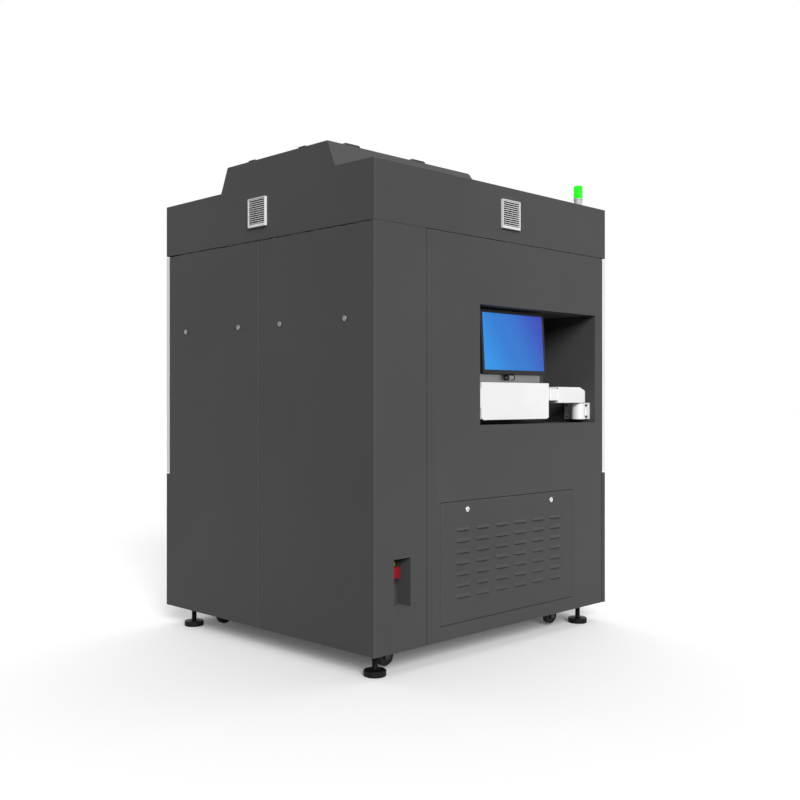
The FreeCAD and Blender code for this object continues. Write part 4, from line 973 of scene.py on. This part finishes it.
class PRINTER_OT_locks(bpy.types.Operator):
    """Quarter-turn locks of the rear and vent panels"""

    bl_idname = "printer.locks"
    bl_label = "Quarter-turn locks"

    head = 0.011
    rim = 0.0018
    half_slot = 0.0013
    slot_depth = 0.0025

    def execute(self, context):
        for i in range(1, 5):
            self.lock("rear_lock_%d" % i, Matrix.Rotation(-QUARTER_TURN, 4, "X"))
        for i in range(1, 3):
            self.lock("vent_lock_%d" % i, Matrix.Rotation(-QUARTER_TURN, 4, "Y"))
        return {"FINISHED"}

    def lock(self, node, turn):
        """Domed head with a slot, its body and the cam behind the panel."""
        low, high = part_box(node)
        outward = turn @ Vector((0, 0, 1))
        joint = next(j for j in frame["joints"] if j["child"] == node)
        centre = Vector(joint["pos_m"])
        reach = max((high - centre).dot(outward), (low - centre).dot(outward))
        side, brow = 0.45 * reach, 0.86 * reach
        brow_radius, face_radius = 0.72 * self.head, 0.66 * self.head
        profile = [(0, 0), (self.head, 0), (self.head, side)]
        profile += arc((self.head - self.rim, side), self.rim, 0, 60, 3)
        profile += [(brow_radius, brow), (face_radius, reach), (0, reach)]
        matrix = Matrix.Translation(centre) @ turn
        mesh = bmesh.new()
        add_turned(mesh, profile, matrix, 40)
        self.cut_slot(mesh, matrix, reach)
        self.cam(mesh, node, centre, outward)
        show(node + "_chrome", mesh, node)

    def cut_slot(self, mesh, matrix, reach):
        """Slot across the head, made by bisecting and sinking its floor."""
        axes = matrix.to_3x3()
        for offset in (-self.half_slot, self.half_slot):
            bmesh.ops.bisect_plane(
                mesh, geom=mesh.verts[:] + mesh.edges[:] + mesh.faces[:],
                plane_co=matrix @ Vector((offset, 0, 0)), plane_no=axes @ Vector((1, 0, 0))
            )
        inverse = matrix.inverted()
        middles = {face: inverse @ face.calc_center_median() for face in mesh.faces}
        floor = [f for f, at in middles.items() if abs(at.x) < self.half_slot and at.z > 0.95 * reach]
        sunk = bmesh.ops.extrude_face_region(mesh, geom=floor)["geom"]
        verts = [item for item in sunk if isinstance(item, bmesh.types.BMVert)]
        bmesh.ops.translate(mesh, verts=verts, vec=axes @ Vector((0, 0, -self.slot_depth)))
        bmesh.ops.delete(mesh, geom=floor, context="FACES")

    def cam(self, mesh, node, centre, outward):
        """Body and cam taken from the CAD lock behind the panel's face."""
        behind = welded(node)
        gone = [vert for vert in behind.verts if (vert.co - centre).dot(outward) > PLANE_TOLERANCE]
        bmesh.ops.delete(behind, geom=gone, context="VERTS")
        data = bpy.data.meshes.new(node + "_behind")
        behind.to_mesh(data)
        behind.free()
        mesh.from_mesh(data)
        bpy.data.meshes.remove(data)


class PRINTER_OT_isolator(bpy.types.Operator):
    """Mains isolator: red turning grip on a yellow plate"""

    bl_idname = "printer.isolator"
    bl_label = "Mains isolator"

    def execute(self, context):
        edges = settings("edges")
        dressed("isolator_plate", edges.isolator_plate)
        dressed("isolator_handle", edges.isolator_handle, 3)
        return {"FINISHED"}


class PRINTER_OT_console(bpy.types.Operator):
    """Console arm, its wall bracket, the bracket plate and the folding keyboard tray"""

    bl_idname = "printer.console"
    bl_label = "Console arm and tray"

    def execute(self, context):
        edges = settings("edges")
        dressed("arm_bracket", edges.bracket)
        dressed("support_arm", edges.arm, 3)
        dressed("console_bracket", edges.bracket)
        dressed("keyboard_tray", edges.tray)
        dressed("bracket_screws", edges.screw)
        return {"FINISHED"}


class PRINTER_OT_monitor(bpy.types.Operator):
    """Monitor case with rounded corners, and its lit screen"""

    bl_idname = "printer.monitor"
    bl_label = "Monitor"

    thinnest = 0.015
    thickest = 0.021
    least_heading = 0.98

    def execute(self, context):
        edges = settings("edges")
        mesh = welded("monitor_housing")
        rounded(mesh, [edge for edge in sharp(mesh) if self.through_case(edge)], edges.bezel_corner, 4)
        rounded(mesh, sharp(mesh), edges.bezel)
        show("monitor_case", mesh, "monitor_housing")
        coat_node("monitor_screen")
        return {"FINISHED"}

    def through_case(self, edge):
        """Whether an edge runs from the front to the back of the case."""
        run = edge.verts[1].co - edge.verts[0].co
        return self.thinnest < run.length < self.thickest and abs(run.normalized().x) > self.least_heading


class PRINTER_OT_tower(bpy.types.Operator):
    """Signal tower: turned base and fluted green lens"""

    bl_idname = "printer.tower"
    bl_label = "Signal tower"

    def execute(self, context):
        low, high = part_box("tower_light_base")
        radius = (high.x - low.x) / 2
        self.base(radius, high.z - low.z)
        self.lens(radius, settings("gear"))
        return {"FINISHED"}

    def base(self, radius, tall):
        """Tapered base with a groove under its collar."""
        collar, groove, chamfer = 0.007, 0.004, 0.001
        heel, rim, skirt, waist = (share * radius for share in (0.80, 0.82, 0.93, 0.90))
        profile = [(0, 0), (heel, 0), (rim, 2 * chamfer)]
        profile += [(skirt, tall - collar - groove - chamfer), (waist, tall - collar - groove)]
        profile += [(waist, tall - collar - chamfer), (radius, tall - collar)]
        profile += [(radius, tall - chamfer), (radius - chamfer, tall), (0, tall)]
        mesh = bmesh.new()
        add_turned(mesh, profile, standing_on("tower_light_base"))
        show("tower_light_foot", mesh, "tower_light_base")

    def lens(self, radius, size):
        """Lens with a plain seat, upright flutes and a rounded crown."""
        low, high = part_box("tower_light_lens")
        tall = high.z - low.z
        seat, flutes_from, crown, slack = 0.003, 0.004, 0.005, 0.002

        def fluted(r, turn, height):
            """Radius of the lens with its flutes, which fade out at the crown."""
            if r < radius - slack or height > tall - crown or height < seat:
                return r
            return r - size.flute_depth * (0.5 + 0.5 * math.cos(size.flutes * turn))

        profile = [(0, 0), (radius, 0), (radius, seat)]
        profile += [(radius, height) for height in even_steps(flutes_from, tall - crown, 6)]
        profile += arc((radius - crown, tall - crown), crown, 10, 90, 5) + [(0, tall)]
        centre = middle_of("tower_light_base")
        matrix = Matrix.Translation((centre.x, centre.y, low.z))
        mesh = bmesh.new()
        add_turned(mesh, profile, matrix, 4 * size.flutes, fluted)
        show("tower_light_fluted_lens", mesh, "tower_light_lens")


class PRINTER_OT_feet(bpy.types.Operator):
    """Levelling feet: moulded pad, threaded stem and lock nut"""

    bl_idname = "printer.feet"
    bl_label = "Levelling feet"

    stem = 0.011
    neck = 0.020
    side = 0.021
    cone = 0.003
    nut_radius = 0.019
    nut_height = 0.012
    rows_per_turn = 6

    def execute(self, context):
        size = settings("gear")
        for i in range(1, 5):
            self.foot("levelling_foot_%d" % i, size)
        return {"FINISHED"}

    def foot(self, node, size):
        """Pad with a rounded rim under a threaded stem."""
        low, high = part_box(node)
        matrix = standing_on(node)
        radius, tall = (high.x - low.x) / 2, high.z - low.z
        sole, chamfer, inset = 0.005, 0.002, 0.0005
        shoulder, top = self.side - size.foot_round / 2, self.side + self.cone
        profile = [(0, 0), (radius - chamfer - inset, 0), (radius - inset, chamfer)]
        profile += [(radius - inset, sole - inset), (radius, sole), (radius, shoulder)]
        profile += arc((radius - size.foot_round, shoulder), size.foot_round, 20, 62, 3)
        profile += [(self.neck + chamfer, top - chamfer / 2), (self.neck, top)]
        profile += [(self.stem, top + inset), (0, top + inset)]
        mesh = bmesh.new()
        add_turned(mesh, profile, matrix, 56)
        self.thread(mesh, matrix, top, tall, size)
        self.nut(mesh, matrix)
        show(node + "_moulded", mesh, node)

    def thread(self, mesh, matrix, start, end, size):
        """Stem whose radius follows a helix."""

        def ridged(r, turn, height):
            """Radius of the thread at an angle and height."""
            phase = (turn / (2 * math.pi) - height / size.thread) % 1.0
            return r - size.thread_depth * abs(2 * phase - 1)

        rows = int((end - start) / size.thread * self.rows_per_turn)
        stem = [(self.stem, height) for height in even_steps(start, end, rows)]
        add_turned(mesh, [(0, start)] + stem + [(0, end)], matrix, 20, ridged)

    def nut(self, mesh, matrix):
        """Six-sided lock nut against the base frame."""
        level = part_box("base_frame")[0].z - matrix.translation.z - self.nut_height
        turns = [math.pi * k / 3 for k in range(6)]
        flat = [(self.nut_radius * math.cos(t), self.nut_radius * math.sin(t)) for t in turns]
        made = add_prism(mesh, [matrix @ Vector((x, y, level)) for x, y in flat], (0, 0, self.nut_height))
        rounded(mesh, edges_of(made), settings("edges").nut)


class PRINTER_OT_casters(bpy.types.Operator):
    """Swivel casters: pressed fork, and a wheel with hub and tread"""

    bl_idname = "printer.casters"
    bl_label = "Casters"

    def execute(self, context):
        size = settings("gear")
        for i in range(1, 5):
            dressed("caster_fork_%d" % i, settings("edges").fork)
            self.wheel("caster_wheel_%d" % i, size)
        return {"FINISHED"}

    def wheel(self, node, size):
        """Crowned tread with a centre groove, over a dished hub."""
        low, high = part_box(node)
        radius, half = (high.z - low.z) / 2, (high.x - low.x) / 2
        bore, hub, dish, chamfer, tyre, crown = 0.0051, 0.016, 0.003, 0.001, 0.010, 0.007
        groove_top, groove_floor = 0.0035, 0.0020
        right = [(bore, half), (hub - chamfer, half), (hub, half - chamfer), (hub, half - dish)]
        right += [(radius - tyre - 2 * chamfer, half - dish), (radius - tyre - chamfer, half - chamfer)]
        right.append((radius - tyre, half))
        right += arc((radius - crown, half - crown), crown, 90, 12, 5)
        right += [(radius, groove_top), (radius - size.tread_groove, groove_floor)]
        profile = right + [(r, -h) for r, h in reversed(right)] + [(bore, half)]
        matrix = Matrix.Translation(middle_of(node)) @ Matrix.Rotation(QUARTER_TURN, 4, "Y")
        mesh = bmesh.new()
        add_turned(mesh, profile, matrix, 56)
        bmesh.ops.remove_doubles(mesh, verts=mesh.verts, dist=WELD_DISTANCE)
        show(node + "_tread", mesh, node)


class PRINTER_OT_door(bpy.types.Operator):
    """Front door with its finger pocket, and the amber window"""

    bl_idname = "printer.door"
    bl_label = "Front door"

    def execute(self, context):
        mesh = welded("front_door")
        rounded(mesh, outline_edges(mesh, "-Y", "XZ"), settings("sheets").bend, 3)
        show("front_door_sheet", mesh, "front_door")
        dressed("door_window", settings("edges").window)
        return {"FINISHED"}


class PRINTER_OT_works(bpy.types.Operator):
    """Resin vat, lift column with its screw and carriage, build platform and recoater"""

    bl_idname = "printer.works"
    bl_label = "Vat, lift and recoater"

    journal = 0.008
    plain = 0.0203
    rows_per_turn = 8

    def execute(self, context):
        for node in ("resin_vat", "z_column", "z_carriage", "recoater", "linear_rails", "z_motor"):
            dressed(node, settings("edges").works)
        coat_node("build_platform")
        self.lift_screw(settings("gear"))
        return {"FINISHED"}

    def lift_screw(self, size):
        """Screw with a rounded helical groove between two plain journals."""
        low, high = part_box("ball_screw")
        radius, tall = (high.x - low.x) / 2, high.z - low.z
        start, end = self.plain, tall - self.plain

        def grooved(r, turn, height):
            """Radius of the screw at an angle and height."""
            if r < radius:
                return r
            phase = (turn / (2 * math.pi) + height / size.screw_lead) % 1.0
            return r - size.screw_depth * max(0.0, math.cos(2 * math.pi * phase)) ** 0.5

        rows = int((end - start) / size.screw_lead * self.rows_per_turn)
        profile = [(0, 0), (self.journal, 0), (self.journal, start)]
        profile += [(radius, height) for height in even_steps(start, end, rows)]
        profile += [(self.journal, end), (self.journal, tall), (0, tall)]
        mesh = bmesh.new()
        add_turned(mesh, profile, standing_on("ball_screw"), 20, grooved)
        show("ball_screw_grooved", mesh, "ball_screw")


class PRINTER_OT_insides(bpy.types.Operator):
    """Welded frames, optics and the electronics chassis"""

    bl_idname = "printer.insides"
    bl_label = "Frames, optics and electronics"

    def execute(self, context):
        for node in ("base_frame", "upright_frame", "optics_plate", "control_cabinet"):
            coat_node(node)
        for node in ("laser_head", "scanner_head"):
            dressed(node, settings("edges").optics)
        return {"FINISHED"}


class PRINTER_OT_stage(bpy.types.Operator):
    """Camera, white dome, two soft lamps and a pale floor"""

    bl_idname = "printer.stage"
    bl_label = "Stage"

    def execute(self, context):
        size = settings("stage")
        scene = context.scene
        scene.view_settings.view_transform = "Standard"
        self.camera(scene, size)
        self.soft_lamp(scene, "key", size.key, size.key_from, size.key_softness)
        self.soft_lamp(scene, "fill", size.fill, size.fill_from, size.fill_softness)
        self.dome(scene, size)
        self.floor(scene, size)
        return {"FINISHED"}

    def camera(self, scene, size):
        """Level camera that looks at the rear console-side corner."""
        data = bpy.data.cameras.new("camera")
        data.sensor_width = size.sensor
        data.lens = size.lens
        data.clip_end = size.sight
        camera = bpy.data.objects.new("camera", data)
        camera.location = size.eye
        camera.rotation_euler = Vector(size.look).to_track_quat("-Z", "Y").to_euler()
        scene.collection.objects.link(camera)
        scene.camera = camera

    def soft_lamp(self, scene, name, energy, source, softness):
        """Soft lamp that shines from the source's direction."""
        data = bpy.data.lights.new(name, "SUN")
        data.energy = energy
        data.angle = softness
        lamp = bpy.data.objects.new(name, data)
        lamp.rotation_euler = Vector(source).to_track_quat("Z", "Y").to_euler()
        scene.collection.objects.link(lamp)

    def seen_share(self, tree):
        """One where the ray comes from the camera, a reflection or glass."""
        path = place(tree, "ShaderNodeLightPath").outputs
        plain = reckoned(tree, "MAXIMUM", path["Is Camera Ray"], path["Is Glossy Ray"])
        return reckoned(tree, "MAXIMUM", plain, path["Is Transmission Ray"])

    def seen_or_lit(self, tree, seen, lit):
        """Shader that differs between rays that show it and rays that only light the part."""
        return place(tree, "ShaderNodeMixShader", {0: self.seen_share(tree), 1: lit, 2: seen}).outputs[0]

    def dome(self, scene, size):
        """White surroundings that light more from overhead and show pure white."""
        world = bpy.data.worlds.new("studio")
        scene.world = world
        world.use_nodes = True
        tree = world.node_tree
        tree.nodes.clear()
        where = place(tree, "ShaderNodeTexCoord").outputs["Generated"]
        up = place(tree, "ShaderNodeSeparateXYZ", {0: where}).outputs["Z"]
        level = ranged(tree, up, size.dome, size.dome + size.zenith, 0.0, 1.0)
        lit = place(tree, "ShaderNodeBackground", {"Color": WHITE, "Strength": level}).outputs[0]
        seen = place(tree, "ShaderNodeBackground", {"Color": WHITE, "Strength": 1.0}).outputs[0]
        place(tree, "ShaderNodeOutputWorld", {"Surface": self.seen_or_lit(tree, seen, lit)})

    def floor(self, scene, size):
        """Large pale floor that keeps the shadow."""
        mesh = bmesh.new()
        bmesh.ops.create_grid(mesh, x_segments=2, y_segments=2, size=size.floor_reach)
        data = bpy.data.meshes.new("floor")
        mesh.to_mesh(data)
        mesh.free()
        data.materials.append(self.floor_paint(size))
        floor = bpy.data.objects.new("floor", data)
        scene.collection.objects.link(floor)

    def floor_paint(self, size):
        """Matte paint, lifted towards white where it is seen and darker where it lights the part."""
        made = bpy.data.materials.new("studio_floor")
        made.use_nodes = True
        tree = made.node_tree
        tree.nodes.clear()
        paint = settings("colours").floor
        matte = place(tree, "ShaderNodeBsdfDiffuse", {"Color": opaque(paint)}).outputs[0]
        lift = place(tree, "ShaderNodeEmission", {"Color": WHITE, "Strength": size.floor_lift}).outputs[0]
        seen = place(tree, "ShaderNodeAddShader", {0: matte, 1: lift}).outputs[0]
        lit = place(tree, "ShaderNodeBsdfDiffuse", {"Color": opaque(paint, size.floor_bounce)}).outputs[0]
        place(tree, "ShaderNodeOutputMaterial", {"Surface": self.seen_or_lit(tree, seen, lit)})
        return made


PIECE_OPERATORS = (
    PRINTER_OT_panels,
    PRINTER_OT_hood,
    PRINTER_OT_vent_panel,
    PRINTER_OT_grilles,
    PRINTER_OT_locks,
    PRINTER_OT_isolator,
    PRINTER_OT_console,
    PRINTER_OT_monitor,
    PRINTER_OT_tower,
    PRINTER_OT_feet,
    PRINTER_OT_casters,
    PRINTER_OT_door,
    PRINTER_OT_works,
    PRINTER_OT_insides,
    PRINTER_OT_stage,
)
SETTING_GROUPS = {
    "colours": PrinterColours,
    "sheets": PrinterSheets,
    "vents": PrinterVents,
    "edges": PrinterEdges,
    "gear": PrinterGear,
    "stage": PrinterStage,
}


class PRINTER_PT_sidebar(bpy.types.Panel):
    """Lists the settings and the pieces of the printer"""

    bl_idname = "PRINTER_PT_sidebar"
    bl_label = "Resin printer"
    bl_space_type = "VIEW_3D"
    bl_region_type = "UI"
    bl_category = "Printer"

    def draw(self, context):
        layout = self.layout
        for name, group in SETTING_GROUPS.items():
            box = layout.box()
            box.label(text=name.capitalize())
            for key in group.__annotations__:
                box.prop(settings(name), key)
        for operator in PIECE_OPERATORS:
            layout.operator(operator.bl_idname)


CLASSES = tuple(SETTING_GROUPS.values()) + PIECE_OPERATORS + (PRINTER_PT_sidebar,)


def register():
    """Make the settings, operators and panel known."""
    for known in CLASSES:
        bpy.utils.register_class(known)
    for name, group in SETTING_GROUPS.items():
        setattr(bpy.types.Scene, "printer_" + name, bpy.props.PointerProperty(type=group))


def unregister():
    """Take the settings, operators and panel away again."""
    for name in SETTING_GROUPS:
        delattr(bpy.types.Scene, "printer_" + name)
    for known in reversed(CLASSES):
        bpy.utils.unregister_class(known)


def main():
    """Build every piece in order."""
    register()
    for operator in PIECE_OPERATORS:
        family, name = operator.bl_idname.split(".")
        getattr(getattr(bpy.ops, family), name)()


if __name__ == "__main__":
    main()
